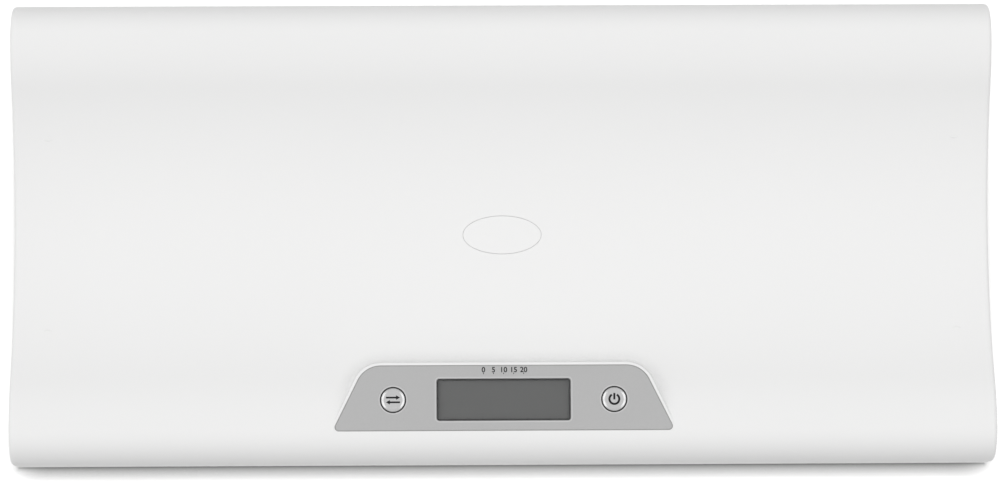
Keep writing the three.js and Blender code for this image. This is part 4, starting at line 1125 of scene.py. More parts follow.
def button_cap(x):
    flange_bottom = flange_top - flange_thickness
    profile = [(0, plunger_top), (stem_radius, plunger_top), (stem_radius, flange_bottom),
               (flange_radius, flange_bottom), (flange_radius, flange_top), (button_radius, flange_top),
               (button_radius, coat_end - slip)]
    profile += [(out, coat_end + up) for out, up in cap_shoulder]
    profile += [(out, dished(out, 0)) for out in evenly(0, dish_radius, 12)[-2::-1]]
    key = block(x - key_half_width, x + key_half_width, control_line - flange_radius - key_reach,
                control_line - flange_radius + 1, flange_bottom, flange_top)
    return machined("cap", turned(profile, x, control_line, sides=96), ("UNION", key))


def arc_points(radius, start, end, steps=40):
    angles = [math.radians(degrees) for degrees in evenly(start, end, steps)]
    return [Vector((radius * math.cos(angle), radius * math.sin(angle))) for angle in angles]


def line_points(start, end, steps=8):
    return [Vector(start).lerp(Vector(end), k / steps) for k in range(steps + 1)]


def even_stroke(centres, width):
    """A stroke of one width on a button's dished top."""
    return stroke(centres, [width] * len(centres), dished)


def arrow(x0, x1, y, width, head):
    """A straight arrow from x0 to x1: its shaft, then its head."""
    neck = x1 - math.copysign(head * 0.9, x1 - x0)
    tip = line_points((neck, y), (x1, y), 6)
    return [even_stroke(line_points((x0, y), (neck, y)), width),
            stroke(tip, [head * (1 - k / 6) + 0.05 for k in range(7)], dished)]


swap_half_length = 4.2
swap_half_gap = 1.4
swap_mark = [part for side in (1, -1)
             for part in arrow(-side * swap_half_length, side * swap_half_length, side * swap_half_gap,
                               width=1.05, head=2.6)]
power_radius = 2.95
power_opening = 58
power_arc = arc_points(power_radius, 90 + power_opening / 2, 450 - power_opening / 2)
power_mark = [even_stroke(power_arc, width=1.25), even_stroke(line_points((0, -0.3), (0, 3.6)), width=1.2)]
button_coat, tree, shader = new_finish("silver_button_coat", roughness=0.3, metallic=0.8)
surface = place_group(tree, moulded, Colour=(0.5, 0.5, 0.502, 1), Cloudiness=0.02, Grain_Size=0.3,
                      Grain_Depth=0.0012, Roughness=0.3, Handling=0.1)
flaked_silver = flaked_colour(tree, surface, variation=0.16, edge_width=0.3, edge_wear_and_highlight=1.5)
link_surface(tree, shader, flaked_silver, surface)
switch_plastic = moulded_plastic("switch_plastic", (0.03, 0.03, 0.031), roughness=0.5, cloudiness=0.06,
                                 grain_size=0.4, grain_depth=0.006)
button_caps = bpy.data.collections.new("button_caps")
for name, side, mark in (("unit", -1, swap_mark), ("power", 1, power_mark)):
    x = side * button_spacing / 2
    button_mesh = button_cap(x)
    button = new_piece(name + "_cap", button_mesh, sharp_angle=40)
    coat(button_mesh, button_coat, switch_plastic)
    # Below the coat's edge each cap is left in the black switch plastic, which darkens the ring gap round it
    # as a painted shade.
    for face in button_mesh.polygons:
        face.material_index = int(face.center.z < coat_end * MM)
    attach(button, name + "_button")
    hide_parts(name + "_button")
    button_caps.objects.link(button)
    mark_mesh = merged("mark", [as_mesh("mark", part) for part in mark])
    mark_mesh.transform(Matrix.Translation(Vector((x, control_line, 0)) * MM))
    printed = new_piece(name + "_mark", mark_mesh)
    coat(printed.data, ink)
    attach(printed, name + "_button")
    dress_node(name + "_plunger", strip_rubber, softening=0.2)
    dress_node(name + "_switch", switch_plastic, softening=0.2)

# Two small lamps low at each side draw a bright crescent on the caps' shoulders, and light nothing else
spark_tilt = 66
spark_lean = 21
for side, tilt in (("left", -spark_tilt), ("right", spark_tilt)):
    for end, lean in (("front", -spark_lean), ("rear", spark_lean)):
        spark = add_lamp(f"{side}_{end}_spark", 0.16, 40, tilt_to_rear=lean, tilt_to_right=tilt,
                         mirrored=True)
        spark.light_linking.receiver_collection = button_caps

# Main board
# A green laminate board under the pod, screwed to four bosses, with a controller and five sockets
# soldered to its underside. Copper tracks show through the green as a raised, darker net.
board_thickness = 1.6
board_bottom = board_top - board_thickness
chip_setback = 5.6
board_finish, tree, shader = new_finish("board_laminate", roughness=0.45)
place = own_place(tree)
tracks = add_node(tree, "ShaderNodeTexBrick", offset=0.37, squash=0.6, squash_frequency=3)
tree.links.new(place, tracks.inputs["Vector"])
tracks.inputs["Scale"].default_value = 120
tracks.inputs["Mortar Size"].default_value = 0.035
tracks.inputs["Color1"].default_value = (0.012, 0.085, 0.035, 1)
tracks.inputs["Color2"].default_value = (0.016, 0.1, 0.042, 1)
tracks.inputs["Mortar"].default_value = (0.03, 0.16, 0.06, 1)
spot = along_axes(tree, place)
under_board = reckon(tree, "LESS_THAN", spot["Z"], (board_bottom - 0.1) * MM)
near_chip = reckon(tree, "GREATER_THAN", spot["Y"], (control_line - chip_setback) * MM)
socket_cream = (0.62, 0.6, 0.54)
chip_black = (0.016, 0.016, 0.017)
part_colour = blend_colours(tree, near_chip, socket_cream, chip_black)
board_colour = blend_colours(tree, under_board, tracks.outputs["Color"], part_colour)
tree.links.new(board_colour, shader.inputs["Base Color"])
tree.links.new(raised(tree, tracks.outputs["Fac"], 0.03), shader.inputs["Normal"])
dulling = reckon(tree, "MULTIPLY_ADD", noise(tree, place, 300, detail=3), 0.2, 0.35)
tree.links.new(dulling, shader.inputs["Roughness"])
dress_node("main_board", board_finish, softening=0.12)

# Screws
# Pan-headed steel screws, plated, with a cross recess and a coarse thread for plastic. Four hold the
# board under the pod, and eight come up through the base's posts into the tray.
slot_reach = 0.62
thread_width = 0.28
core_share = 0.8


def screw(name, shank, head, head_height, length, pitch, slot_width):
    """A screw pointing up, from the underside of its head: head, cross recess and a real thread."""
    profile = [(0, -head_height), (head * 0.55, -head_height)]
    profile += quarter(head - head_height * 0.45, -head_height * 0.55, head_height * 0.45, -90, 0, 4)
    profile += [(head, -0.15), (head - 0.15, 0), (0, 0)]
    slots = [block(-along, along, -across, across, -head_height - 1, -head_height * 0.3)
             for along, across in ((head * slot_reach, slot_width / 2), (slot_width / 2, head * slot_reach))]
    sides, steps = 20, 5
    core = shank * core_share
    rows = int(length / pitch * steps)
    thread = []
    for row in range(rows + 1):
        z = -0.1 + (length + 0.1) * row / rows
        taper = min(1, (length - z) / (shank * 1.6) + 0.02)
        ring = []
        for side, (cosine, sine) in enumerate(round_circle(sides)):
            phase = (z / pitch - side / sides) % 1
            ridge = max(0, 1 - abs(phase - 0.5) / thread_width) if z > pitch / 2 else 0
            radius = (core + (shank - core) * ridge) * taper
            ring.append(Vector((radius * cosine, radius * sine, z)))
        thread.append(ring)
    return machined(name, turned(profile, sides=32), ("UNION", loft(thread)),
                    *[("DIFFERENCE", slot) for slot in slots])


plated_steel, tree, shader = new_finish("plated_steel", roughness=0.34, metallic=1.0)
surface = place_group(tree, moulded, Colour=(0.52, 0.52, 0.53, 1), Cloudiness=0.06, Grain_Size=0.12,
                      Grain_Depth=0.004, Roughness=0.34, Handling=0.25)
scratches = noise(tree, own_place(tree), 2600, detail=2, distortion=3)
scratched = reckon(tree, "MULTIPLY_ADD", scratches, 0.3, 0.85)
edge_mask = place_group(tree, edge_wear_and_highlight_group, Width=0.2, Strength=2.5).outputs["Mask"]
plate_colour = scaled_colour(tree, surface.outputs["Colour"], scratched)
link_surface(tree, shader, blend_colours(tree, edge_mask, plate_colour, (0.7, 0.69, 0.66)), surface)
corner_names = ("front_left", "front_right", "rear_left", "rear_right")


def fit_screw(name, mesh, x, y, z):
    made = put_up(name.replace("screw", "pan_screw"), mesh)
    made.location = Vector((x, y, z)) * MM
    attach(made, "scale_body")
    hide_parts(name)


def finished_screw(name, **sizes):
    mesh = screw(name, **sizes)
    smooth(mesh, sharp_angle=42)
    coat(mesh, plated_steel)
    return mesh


board_screw = finished_screw("board_screw_steel", shank=0.9, head=2.1, head_height=1.4, length=6, pitch=0.8,
                             slot_width=0.7)
for corner, (x, y) in zip(corner_names, board_screw_places):
    fit_screw("board_screw_" + corner, board_screw, x, y, board_bottom)
housing_screw = finished_screw("housing_screw_steel", shank=screw_shank, head=2.8, head_height=2,
                               length=screw_length, pitch=1.25, slot_width=0.9)
screw_names = [corner + "_" + side for corner in corner_names for side in ("end", "side")]
for screw_name, (x, y) in zip(screw_names, screw_places):
    fit_screw("housing_screw_" + screw_name, housing_screw, x, y, screw_seat)

# Base
# The lower housing, moulded in matt white with a fine spark-eroded skin. It tucks in from the seam to
# a flat floor, with a well for each foot, deep screw holes, ribs, and the battery bay.
base_height = 10
tuck_radius = 12
floor_top = base_height + wall
rim_top = seam_height - slip
lip_height = 3
lip_top = seam_height + lip_height
lip_thickness = 1.4
foot_across = tray_width / 2 - 63
foot_along = tray_depth / 2 - 46.5
foot_places = [(across * foot_across, back * foot_along) for across, back in corner_signs]
well_radius = 26
well_height = 18.5
well_ceiling = well_height + wall
rib_height = 5
hook_reach = 22.5
bay_line = 34
bay_half_length = 25.05
bay_half_width = 22.7
bay_top = 23.6
bay_wall = 2
bay_rounding = 0.4
door_half_width = 26.1
door_half_depth = 28.45
door_top = base_height + 2.2
ledge_top = floor_top + 2
post_radius = 4.8
screw_well_radius = 3.1
lead_hole_radius = 2.2
lead_hole_inwards = 10
hook_slot_half = (3.3, 1.1)
tab_spots = (-18.1, 18.1)
tab_slot_half = 4.3
tab_slot_top = base_height + 5.05
latch_slot_half = 6.8
contact_slit_spots = (-16.8, 16.8)
contact_slit_half = 1.8
scoop_radius = 9
scoop_sink = 7.5
ejector_radius = 2.5
ejector_sink = 0.12


def base_outline(inset, radius, steps=8):
    return rounded_outline(rectangle(tray_width - 2 * inset, 2 * skirt_at(seam_height) - 2 * inset),
                           [radius] * 4, steps)


def base_form(inset, top, floor, steps):
    """A dish below the seam whose sides tuck in to a flat floor."""
    turn_in = tuck_radius - inset
    levels = [(top, inset)]
    levels += [(floor + turn_in * (1 - math.sin(turn)), inset + turn_in * (1 - math.cos(turn)))
               for turn in evenly(0, right_angle, steps)]
    return loft([at_height(set_out(base_outline(set_in, corner_radius + set_in / 2)), z)
                 for z, set_in in levels])


def hole_from_below(outline, rim, top, softening, steps=4):
    """The cutter of a hole that opens downwards, with its rim rounded over."""
    rings = [at_height(set_out(outline, softening), rim - wall)]
    for turn in evenly(0, right_angle, steps):
        rings.append(at_height(set_out(outline, softening * (1 - math.sin(turn))),
                               rim + softening * (1 - math.cos(turn))))
    rings.append(at_height(set_out(outline), top))
    return loft(rings)


def finger_scoop():
    """The cutter of the shallow scoop behind the door, a ball's lower side."""
    rings = []
    for turn in evenly(-right_angle, right_angle, 12)[1:-1]:
        outline = round_outline(scoop_radius * math.cos(turn), 0, bay_line + door_half_depth)
        rings.append(at_height(set_out(outline), base_height - scoop_sink + scoop_radius * math.sin(turn)))
    return loft(rings)


lip_inset = wall + slip + lip_height * math.tan(draft)
inner_outline = base_outline(lip_inset + lip_thickness, corner_radius)
cross_ribs = [block(share * 2 * foot_across - rib_half, share * 2 * foot_across + rib_half, -side_screw[1],
                    side_screw[1], base_height + wall / 2, floor_top + rib_height)
              for share in (-0.3, -0.2, 0.2, 0.3)]
long_rib = block(-end_screw[0], end_screw[0], -rib_half, rib_half, base_height + wall / 2,
                 floor_top + rib_height)
bay_ledge = block(-door_half_width - wall, door_half_width + wall, bay_line - door_half_depth - wall,
                  bay_line + door_half_depth + wall, base_height, ledge_top)
bay_shell = block(-bay_half_width - bay_wall, bay_half_width + bay_wall,
                  bay_line - bay_half_length - bay_wall, bay_line + bay_half_length + bay_wall,
                  base_height, bay_top + bay_wall)
door_opening = rounded_outline(rectangle(2 * (door_half_width + slip), 2 * (door_half_depth + slip), 0,
                                         bay_line), [wall + slip] * 4)
bay_space = rounded_outline(rectangle(2 * bay_half_width, 2 * bay_half_length, 0, bay_line),
                            [bay_rounding] * 4, 3)
tab_slots = [block(x - tab_slot_half, x + tab_slot_half, bay_line - door_half_depth - 2.5,
                   bay_line - bay_half_length, floor_top - 1, tab_slot_top) for x in tab_spots]
latch_slot = block(-latch_slot_half, latch_slot_half, bay_line + bay_half_length,
                   bay_line + door_half_depth + slip, floor_top - 1, ledge_top + 1)
contact_slits = [block(x - contact_slit_half, x + contact_slit_half, bay_line - bay_half_length - slip,
                       bay_line - bay_half_length + 0.8, bay_top - 1, bay_top + 3)
                 for x in contact_slit_spots]
hook_slots = []
for x, y in foot_places:
    for middle in (y - hook_reach, y + hook_reach):
        hook_slots.append(block(x - hook_slot_half[0], x + hook_slot_half[0], middle - hook_slot_half[1],
                                middle + hook_slot_half[1], well_height - 1, well_ceiling + 1))
lead_holes = [bar(lead_hole_radius, well_height - 1, well_ceiling + 1,
                  x - math.copysign(lead_hole_inwards, x), y) for x, y in foot_places]
ejector_marks = [bar(ejector_radius, base_height - 1, base_height + ejector_sink, x, y, sides=48)
                 for x in (-170, -60, 60, 170) for y in (-58, -104, 104)]
base_mesh = machined(
    "base", base_form(0, rim_top, base_height, steps=10),
    ("DIFFERENCE", base_form(wall, seam_height, floor_top, steps=4)),
    ("UNION", prism(set_out(base_outline(wall / 2, corner_radius)), seam_height - 6, rim_top)),
    ("UNION", prism(set_out(base_outline(lip_inset, corner_radius)), rim_top - slip, lip_top)),
    ("DIFFERENCE", prism(set_out(inner_outline), seam_height - 7, lip_top + 1)),
    ("UNION", together([bar(well_radius + wall, base_height, well_ceiling, x, y, sides=96)
                        for x, y in foot_places])),
    ("UNION", together([bar(post_radius, base_height, post_top - slip, x, y, sides=48)
                        for x, y in screw_places])),
    *[("UNION", some_rib) for some_rib in (*cross_ribs, long_rib)],
    ("UNION", bay_ledge),
    ("UNION", bay_shell),
    ("DIFFERENCE", together([hole_from_below(round_outline(well_radius, x, y, sides=128), base_height,
                                             well_height, softening=0.9) for x, y in foot_places])),
    ("DIFFERENCE", together(hook_slots)),
    ("DIFFERENCE", together(lead_holes)),
    ("DIFFERENCE", together([hole_from_below(round_outline(screw_well_radius, x, y, sides=48), base_height,
                                             screw_seat, softening=0.5) for x, y in screw_places])),
    ("DIFFERENCE", together([bar(screw_shank + slip, screw_seat - 1, post_top + 1, x, y)
                             for x, y in screw_places])),
    ("DIFFERENCE", hole_from_below(door_opening, base_height, floor_top, softening=0.35)),
    ("DIFFERENCE", prism(set_out(bay_space), base_height, bay_top)),
    ("DIFFERENCE", together(tab_slots)),
    ("DIFFERENCE", latch_slot),
    ("DIFFERENCE", together(contact_slits)),
    ("DIFFERENCE", finger_scoop()),
    ("DIFFERENCE", together(ejector_marks)),
)
base_white = (0.8, 0.8, 0.79)
base_finish = moulded_plastic("matt_white_plastic", base_white, roughness=0.55, cloudiness=0.012,
                              grain_size=0.35, grain_depth=0.02, handling=0.1, dust_and_shade=0.35)
base = new_piece("base_moulding", base_mesh)
even_shading(base)
coat(base_mesh, base_finish)
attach(base, "scale_body")
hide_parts("base_cover")

# Weighing feet
# Each foot is a shallow moulded cup on a load cell, held by two hooks through the well's ceiling, with
# a grooved rubber pad stuck into its underside. The cell is a slotted steel plate.
foot_radius = 25
foot_lift = 1.2
foot_floor = 4.6
foot_top = 13.4
foot_wall = 2
foot_round = 2.2
foot_edge = 0.4
cell_bottom = 15.6
cell_thickness = 2.6
hook_half = 3
hook_half_thickness = 0.8
pad_radius = 18
pad_thickness = 2.4
groove_depth = 0.5
foot_profile = [(0, foot_lift), (pad_radius + 1.6, foot_lift), (pad_radius + 1.9, foot_lift + 0.4),
                (pad_radius + 2.5, foot_lift + 0.4), (pad_radius + 2.8, foot_lift)]
foot_profile += quarter(foot_radius - foot_round, foot_lift + foot_round, foot_round, -90, 0)
foot_profile += quarter(foot_radius - foot_edge, foot_top - foot_edge, foot_edge, 0, 90, 3)
foot_profile += [(foot_radius - foot_wall, foot_top), (foot_radius - foot_wall, foot_floor),
                 (5.2, foot_floor), (4.5, foot_floor + 0.7), (4.5, cell_bottom - 0.5), (4, cell_bottom),
                 (0, cell_bottom)]
hook_bars = []
for side in (-1, 1):
    for thickness, low, high in ((hook_half_thickness, foot_floor - slip, well_ceiling + 2.3),
                                 (hook_half_thickness + 1, well_ceiling + slip, well_ceiling + 2.2)):
        near, far = sorted((side * (hook_reach - hook_half_thickness), side * (hook_reach + thickness)))
        hook_bars.append(block(-hook_half, hook_half, near, far, low, high))
foot_mesh = machined("foot_cup", turned(foot_profile, sides=96), *[("UNION", hook) for hook in hook_bars],
                     ("DIFFERENCE", bar(pad_radius + slip, 0, pad_thickness, sides=96)))
coat(foot_mesh, base_finish)
pad_profile = [(0, groove_depth)]
for middle in (4, 7.5, 11, 14.5):
    pad_profile += [(middle - 1.25, groove_depth), (middle - 0.95, 0.06), (middle - 0.75, 0),
                    (middle + 0.75, 0), (middle + 0.95, 0.06), (middle + 1.25, groove_depth)]
pad_profile += [(16.5, groove_depth), (16.8, 0), (pad_radius - 0.4, 0), (pad_radius - 0.1, 0.15),
                (pad_radius, 0.5), (pad_radius, pad_thickness), (0, pad_thickness)]
pad_mesh = as_mesh("rubber_pad", turned(pad_profile, sides=96))
coat(pad_mesh, moulded_plastic("grey_rubber", (0.27, 0.275, 0.28), roughness=0.85, cloudiness=0.05,
                               grain_size=0.25, grain_depth=0.03, handling=0.1, dust_and_shade=0.8,
                               Specular_IOR_Level=0.3))
for mesh in (foot_mesh, pad_mesh):
    smooth(mesh, sharp_angle=40)
cell_steel, tree, shader = new_finish("stamped_steel", roughness=0.38, metallic=1.0)
surface = place_group(tree, moulded, Colour=(0.42, 0.42, 0.43, 1), Cloudiness=0.05, Grain_Size=0.5,
                      Grain_Depth=0.006, Roughness=0.4, Handling=0.3)
stretched = add_node(tree, "ShaderNodeMapping")
stretched.inputs["Scale"].default_value = (40, 2600, 2600)
tree.links.new(own_place(tree), stretched.inputs["Vector"])
rolled = noise(tree, stretched.outputs[0], 1, detail=3)
streaked = reckon(tree, "MULTIPLY_ADD", rolled, 0.35, 0.82)
tree.links.new(scaled_colour(tree, surface.outputs["Colour"], streaked), shader.inputs["Base Color"])
tree.links.new(surface.outputs["Roughness"], shader.inputs["Roughness"])
tree.links.new(raised(tree, rolled, 0.01), shader.inputs["Normal"])
for corner, (x, y) in zip(corner_names, foot_places):
    for name, mesh, slot in (("foot_", foot_mesh, "base_white"), ("foot_pad_", pad_mesh, "pad_rubber")):
        made = put_up("turned_" + name + corner, mesh)
        made.location = Vector((x, y, 0)) * MM
        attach(made, "scale_body")
        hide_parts(name + corner)
    dress_node("load_cell_" + corner, cell_steel, softening=0.25)

# Battery door
# A flat lid flush with the base. Two hooks at its front edge hold it while it turns, and a springy
# latch at the rear snaps under the ledge. Grooves and a small arrow show where to press.
door_outline = rounded_outline(rectangle(2 * door_half_width, 2 * door_half_depth, 0, bay_line), [wall] * 4)
door_shell = soft_slab(door_outline, base_height, door_top, low_softening=0.3, high_softening=fine_softening)
hook_half_width = 4
hook_thickness = 1.4
hook_overhang = 2.2
door_front = bay_line - door_half_depth
hook_bottom = floor_top + slip
hooks = []
for x in tab_spots:
    hooks.append(block(x - hook_half_width, x + hook_half_width, door_front + hair,
                       door_front + hook_thickness, door_top - slip, hook_bottom + hook_thickness))
    hooks.append(block(x - hook_half_width + hair, x + hook_half_width - hair, door_front - hook_overhang,
                       door_front + hook_thickness - hair, hook_bottom, hook_bottom + hook_thickness - hair))
latch_half_width = 6.5
latch_thickness = 1.3
latch_height = 3.2
latch_setback = 0.95
latch_face = bay_line + door_half_depth - latch_setback
latch = block(-latch_half_width, latch_half_width, latch_face - latch_thickness, latch_face, door_top - slip,
              door_top + latch_height)
nib_section = [(latch_face - 1.2, floor_top + 0.3), (latch_face + 0.5, floor_top + 0.3),
               (latch_face + 0.8, floor_top + 0.6), (latch_face + 0.5, floor_top + 1.1),
               (latch_face - 1.2, floor_top + 1.1)]
nib_half_width = 6.45
nib = loft([[Vector((x, y, z)) for y, z in nib_section] for x in (-nib_half_width, nib_half_width)])
grip_half_width = 9
grip_pitch = 1.8
grip_half_groove = 0.45
grip_line = bay_line + door_half_depth - 4
grip_middles = [grip_line - grip_pitch * k for k in range(5)]
grip_grooves = [block(-grip_half_width, grip_half_width, y - grip_half_groove, y + grip_half_groove,
                      base_height - 1, base_height + grip_half_groove) for y in grip_middles]
arrow_place = grip_line - 15
arrow_half_width = 3.2
arrow_length = 5
arrow_depth = 0.3
arrow_mark = prism([Vector((-arrow_half_width, arrow_place)), Vector((arrow_half_width, arrow_place)),
                    Vector((0, arrow_place + arrow_length))], base_height - 1, base_height + arrow_depth)
door_mesh = machined("door", door_shell, *[("UNION", part) for part in (*hooks, latch, nib)],
                     ("DIFFERENCE", together(grip_grooves)), ("DIFFERENCE", arrow_mark))
door = new_piece("battery_lid", door_mesh)
even_shading(door)
coat(door_mesh, base_finish)
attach(door, "battery_door")
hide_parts("battery_door")

# Batteries
# Four slim alkaline cells side by side, alternately turned. Each is a steel can in a plain dark
# shrink sleeve with one lighter band, and the steel shows at both ends.
battery_radius = 5.25
battery_length = 43.5
battery_clearance = 0.6
can_edge = 0.45
sleeve_recess = 0.03
battery_axis = door_top + battery_clearance + battery_radius
battery_pitch = 11.2
battery_lift = 1.5
half = battery_length / 2
battery_profile = [(0, -half + 0.25), (3.4, -half + 0.25), (3.7, -half), (4.3, -half)]
battery_profile += quarter(battery_radius - can_edge, -half + 0.5, can_edge, -90, 0, 4)
battery_profile += [(battery_radius - sleeve_recess, -half + 0.9),
                    (battery_radius - sleeve_recess, half - 1.2)]
battery_profile += quarter(battery_radius - can_edge, half - 0.75, can_edge, 0, 90, 4)
battery_profile += [(4.2, half - 0.3), (4.0, half - 0.5), (2.6, half - 0.5), (2.3, half - 0.1), (1.9, half),
                    (1.9, half + 0.8), (1.7, half + 1), (0, half + 1)]
sleeve_finish, tree, shader = new_finish("battery_sleeve", roughness=0.32, metallic=0.2, Coat_Weight=0.4)
surface = place_group(tree, moulded, Colour=(0.03, 0.037, 0.045, 1), Cloudiness=0.05, Grain_Size=0.3,
                      Grain_Depth=0.003, Roughness=0.32, Handling=0.15)
band_width = 9
in_band = reckon(tree, "GREATER_THAN", along_axes(tree, own_place(tree))["Z"], (half - band_width) * MM)
banded_colour = blend_colours(tree, in_band, surface.outputs["Colour"], (0.3, 0.31, 0.32))
link_surface(tree, shader, banded_colour, surface)
battery_mesh = as_mesh("battery_can", turned(battery_profile, sides=48))
coat(battery_mesh, sleeve_finish, plated_steel)
smooth(battery_mesh, sharp_angle=35)
bare_radius = 4.25
for face in battery_mesh.polygons:
    middle = face.center / MM
    bare = middle.xy.length < bare_radius and abs(middle.z) > half - 1
    face.material_index = int(bare)
battery_places = [((k - 1.5) * battery_pitch, 1 if k % 2 else -1) for k in range(4)]
for number, (x, facing) in enumerate(battery_places, 1):
    made = put_up("battery_can_%d" % number, battery_mesh)
    made.rotation_euler.x = -facing * math.pi / 2
    made.location = Vector((x, bay_line + facing * battery_lift, battery_axis)) * MM
    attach(made, "scale_body")
    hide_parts("battery_%d" % number)

# Battery contacts
# Nickel-plated spring plates against the ends of the bay. A tapered coil stands on the plate for each
# flat battery end, and the two outer front plates have a tab up through the bay's top for a lead.
contact_thickness = 0.5
contact_height = 7.4
contact_overlap = 4.5
contact_rounding = 0.8
spring_wire = 0.7
coil_length = 4
coil_radius = 3.4
coil_taper = 1.1
coil_turns = 2.5
coil_steps = 60
tab_half_width = 1.5
tab_rise = 5


def tube_along(points, radius, sides):
    """A tube through points that lie close together, turned as little as possible along its way."""
    rings = []
    circle = round_circle(sides)
    side = (points[1] - points[0]).cross(points[2] - points[0])
    if side.length < 1e-9:
        side = (points[1] - points[0]).orthogonal()
    for k, point in enumerate(points):
        along = (points[min(k + 1, len(points) - 1)] - points[max(k - 1, 0)]).normalized()
        side = (side - along * side.dot(along)).normalized()
        across = side.cross(along)
        rings.append([point + side * radius * cosine + across * radius * sine for cosine, sine in circle])
    return loft(rings)


def coil(x, end, facing):
    """A tapered coil: it starts inside its plate and winds out to its tip."""
    points = [Vector((x + coil_radius, end + facing * contact_thickness / 2, battery_axis))]
    start = end + facing * (contact_thickness + spring_wire)
    tip = end + facing * (contact_thickness + coil_length - spring_wire / 2)
    for share in evenly(0, 1, coil_steps):
        radius = coil_radius - coil_taper * share
        angle = coil_turns * 2 * math.pi * share
        points.append(Vector((x + radius * math.cos(angle), start + (tip - start) * share,
                              battery_axis + radius * math.sin(angle))))
    return tube_along(points, spring_wire / 2, sides=12)


def contact_plate(members, side, has_tab):
    end = bay_line + side * bay_half_length
    inner = end - side * contact_thickness
    near, far = min(end, inner), max(end, inner)
    low, high = members[0][0] - contact_overlap, members[-1][0] + contact_overlap
    outline = rounded_outline(rectangle(high - low, contact_height, (low + high) / 2, battery_axis + 0.5),
                              [contact_rounding] * 4, 5)
    plate = loft([[Vector((point.x, y, point.y)) for point, _ in outline] for y in (near, far)])
    steps = [("UNION", coil(x, end, -side)) for x, facing in members if facing != side]
    if has_tab:
        x = members[0][0]
        steps.append(("UNION", block(x - tab_half_width, x + tab_half_width, near, far, battery_axis,
                                     bay_top + tab_rise)))
    return machined("contact", plate, *steps)


nickel, tree, shader = new_finish("nickel_plate", roughness=0.22, metallic=1.0)
surface = place_group(tree, moulded, Colour=(0.62, 0.61, 0.58, 1), Cloudiness=0.05, Grain_Size=0.2,
                      Grain_Depth=0.003, Roughness=0.24, Handling=0.2)
edge_mask = place_group(tree, edge_wear_and_highlight_group, Width=0.15, Strength=2).outputs["Mask"]
nickel_colour = blend_colours(tree, edge_mask, surface.outputs["Colour"], (0.78, 0.76, 0.7))
link_surface(tree, shader, nickel_colour, surface)
first, second, third, fourth = battery_places
for name, members, side, has_tab in (
        ("front_left", (first,), -1, True), ("front_middle", (second, third), -1, False),
        ("front_right", (fourth,), -1, True), ("rear_left", (first, second), 1, False),
        ("rear_right", (third, fourth), 1, False)):
    contact_mesh = contact_plate(members, side, has_tab)
    contact = new_piece("spring_contact_" + name, contact_mesh, sharp_angle=45)
    coat(contact_mesh, nickel)
    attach(contact, "scale_body")
    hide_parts("contact_" + name)

# Leads
# Thin insulated wires inside the housing. A sleeved bundle runs from each load cell over the ribs to
# its socket on the board, and a red and a black wire come from the battery contacts.
cell_lead_radius = 1.1
battery_lead_radius = 0.7
lead_rest = floor_top + rib_height + 2 * cell_lead_radius
socket_height = 5.3
socket_mouth = board_bottom - socket_height
board_depth = 36.5
socket_setback = 10
socket_line = control_line - board_depth / 2 + socket_setback
front_socket = 36
rear_socket = 18


def smooth_way(points, steps):
    """Points along a centripetal curve through given points."""
    ends = [points[0] * 2 - points[1], *points, points[-1] * 2 - points[-2]]
    way = []
    for k in range(len(points) - 1):
        a, b, c, d = ends[k:k + 4]
        t1 = (b - a).length ** 0.5
        t2 = t1 + (c - b).length ** 0.5
        t3 = t2 + (d - c).length ** 0.5
        for step in range(steps):
            t = t1 + (t2 - t1) * step / steps
            ab = a * ((t1 - t) / t1) + b * (t / t1)
            bc = b * ((t2 - t) / (t2 - t1)) + c * ((t - t1) / (t2 - t1))
            cd = c * ((t3 - t) / (t3 - t2)) + d * ((t - t2) / (t3 - t2))
            abc = ab * ((t2 - t) / t2) + bc * (t / t2)
            bcd = bc * ((t3 - t) / (t3 - t1)) + cd * ((t - t1) / (t3 - t1))
            way.append(abc * ((t2 - t) / (t2 - t1)) + bcd * ((t - t1) / (t2 - t1)))
    way.append(points[-1])
    return way


def into_socket(socket):
    """The last of a lead's way, straight up into its socket."""
    return [socket - Vector((0, 0, drop)) for drop in (10, 5, 0)]


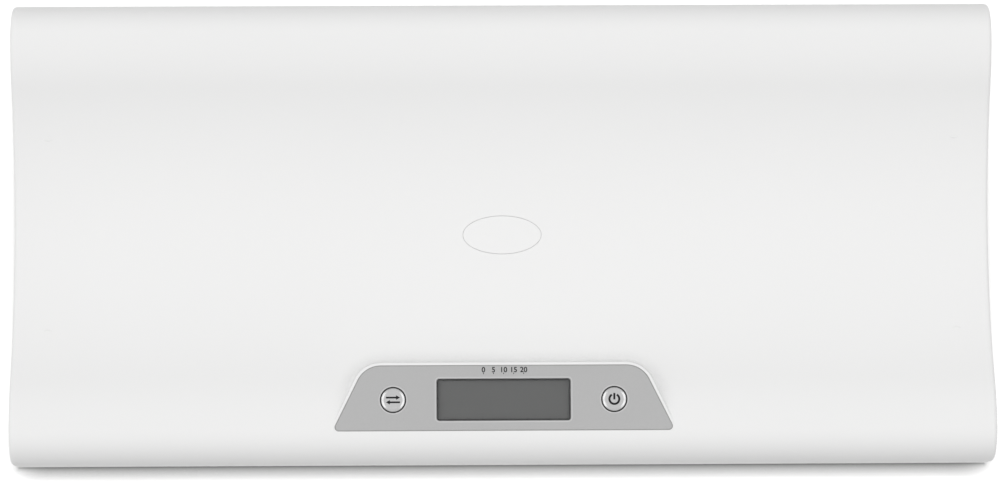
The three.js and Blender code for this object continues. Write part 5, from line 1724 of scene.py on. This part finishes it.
def lay_lead(name, points, radius, finish):
    wire = tube_along(smooth_way(points, steps=6), radius, sides=12)
    lead = new_piece("wire_" + name, as_mesh(name, wire), sharp_angle=60)
    coat(lead.data, finish)
    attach(lead, "scale_body")
    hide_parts(name)


grey_jacket = moulded_plastic("grey_jacket", (0.26, 0.26, 0.27), roughness=0.6, cloudiness=0.05,
                              grain_size=0.4, grain_depth=0.01)
for corner, (across, back) in zip(corner_names, corner_signs):
    start = Vector((across * (foot_across - lead_hole_inwards), back * foot_along,
                    cell_bottom + cell_thickness + slip))
    reach = 2 * foot_across
    along = 2 * foot_along
    if back < 0:
        passes = [(reach / 3, along * 3 / 8), (reach / 5, along / 3), (reach / 9, along * 3 / 8)]
    else:
        passes = [(reach / 3, -along / 4), (reach / 4, -along / 9), (reach / 5, along / 8),
                  (reach / 10, along / 4)]
    rise = well_ceiling + 3 * cell_lead_radius
    socket = Vector((across * (front_socket if back < 0 else rear_socket), socket_line, socket_mouth))
    points = [start, Vector((start.x, start.y, well_ceiling)),
              Vector((start.x - across * 2 * cell_lead_radius, start.y, rise)),
              Vector((across * (foot_across - well_radius - wall - 2 * cell_lead_radius), start.y - back * 5,
                      rise))]
    points += [Vector((across * x, -y, lead_rest)) for x, y in passes] + into_socket(socket)
    lay_lead("load_cell_lead_" + corner, points, cell_lead_radius, grey_jacket)
for name, (x, _), side, colour in (("red", first, -1, (0.4, 0.02, 0.015)),
                                   ("black", fourth, 1, (0.012, 0.012, 0.013))):
    tab_end = bay_line - bay_half_length + contact_thickness / 2
    tab_top = bay_top + tab_rise + slip
    socket = Vector((side * (battery_lead_radius + slip), socket_line, socket_mouth))
    points = [Vector((x, tab_end, tab_top)), Vector((x, tab_end, tab_top + battery_lead_radius)),
              Vector((x, tab_end - 2 * battery_lead_radius, tab_top + 2 * battery_lead_radius)),
              Vector((x, tab_end - 12, lead_rest)), Vector((x / 2, control_line / 2, lead_rest)),
              *into_socket(socket)]
    jacket = moulded_plastic(name + "_jacket", colour, roughness=0.5, cloudiness=0.08, grain_size=0.4,
                             grain_depth=0.008)
    lay_lead("battery_lead_" + name, points, battery_lead_radius, jacket)
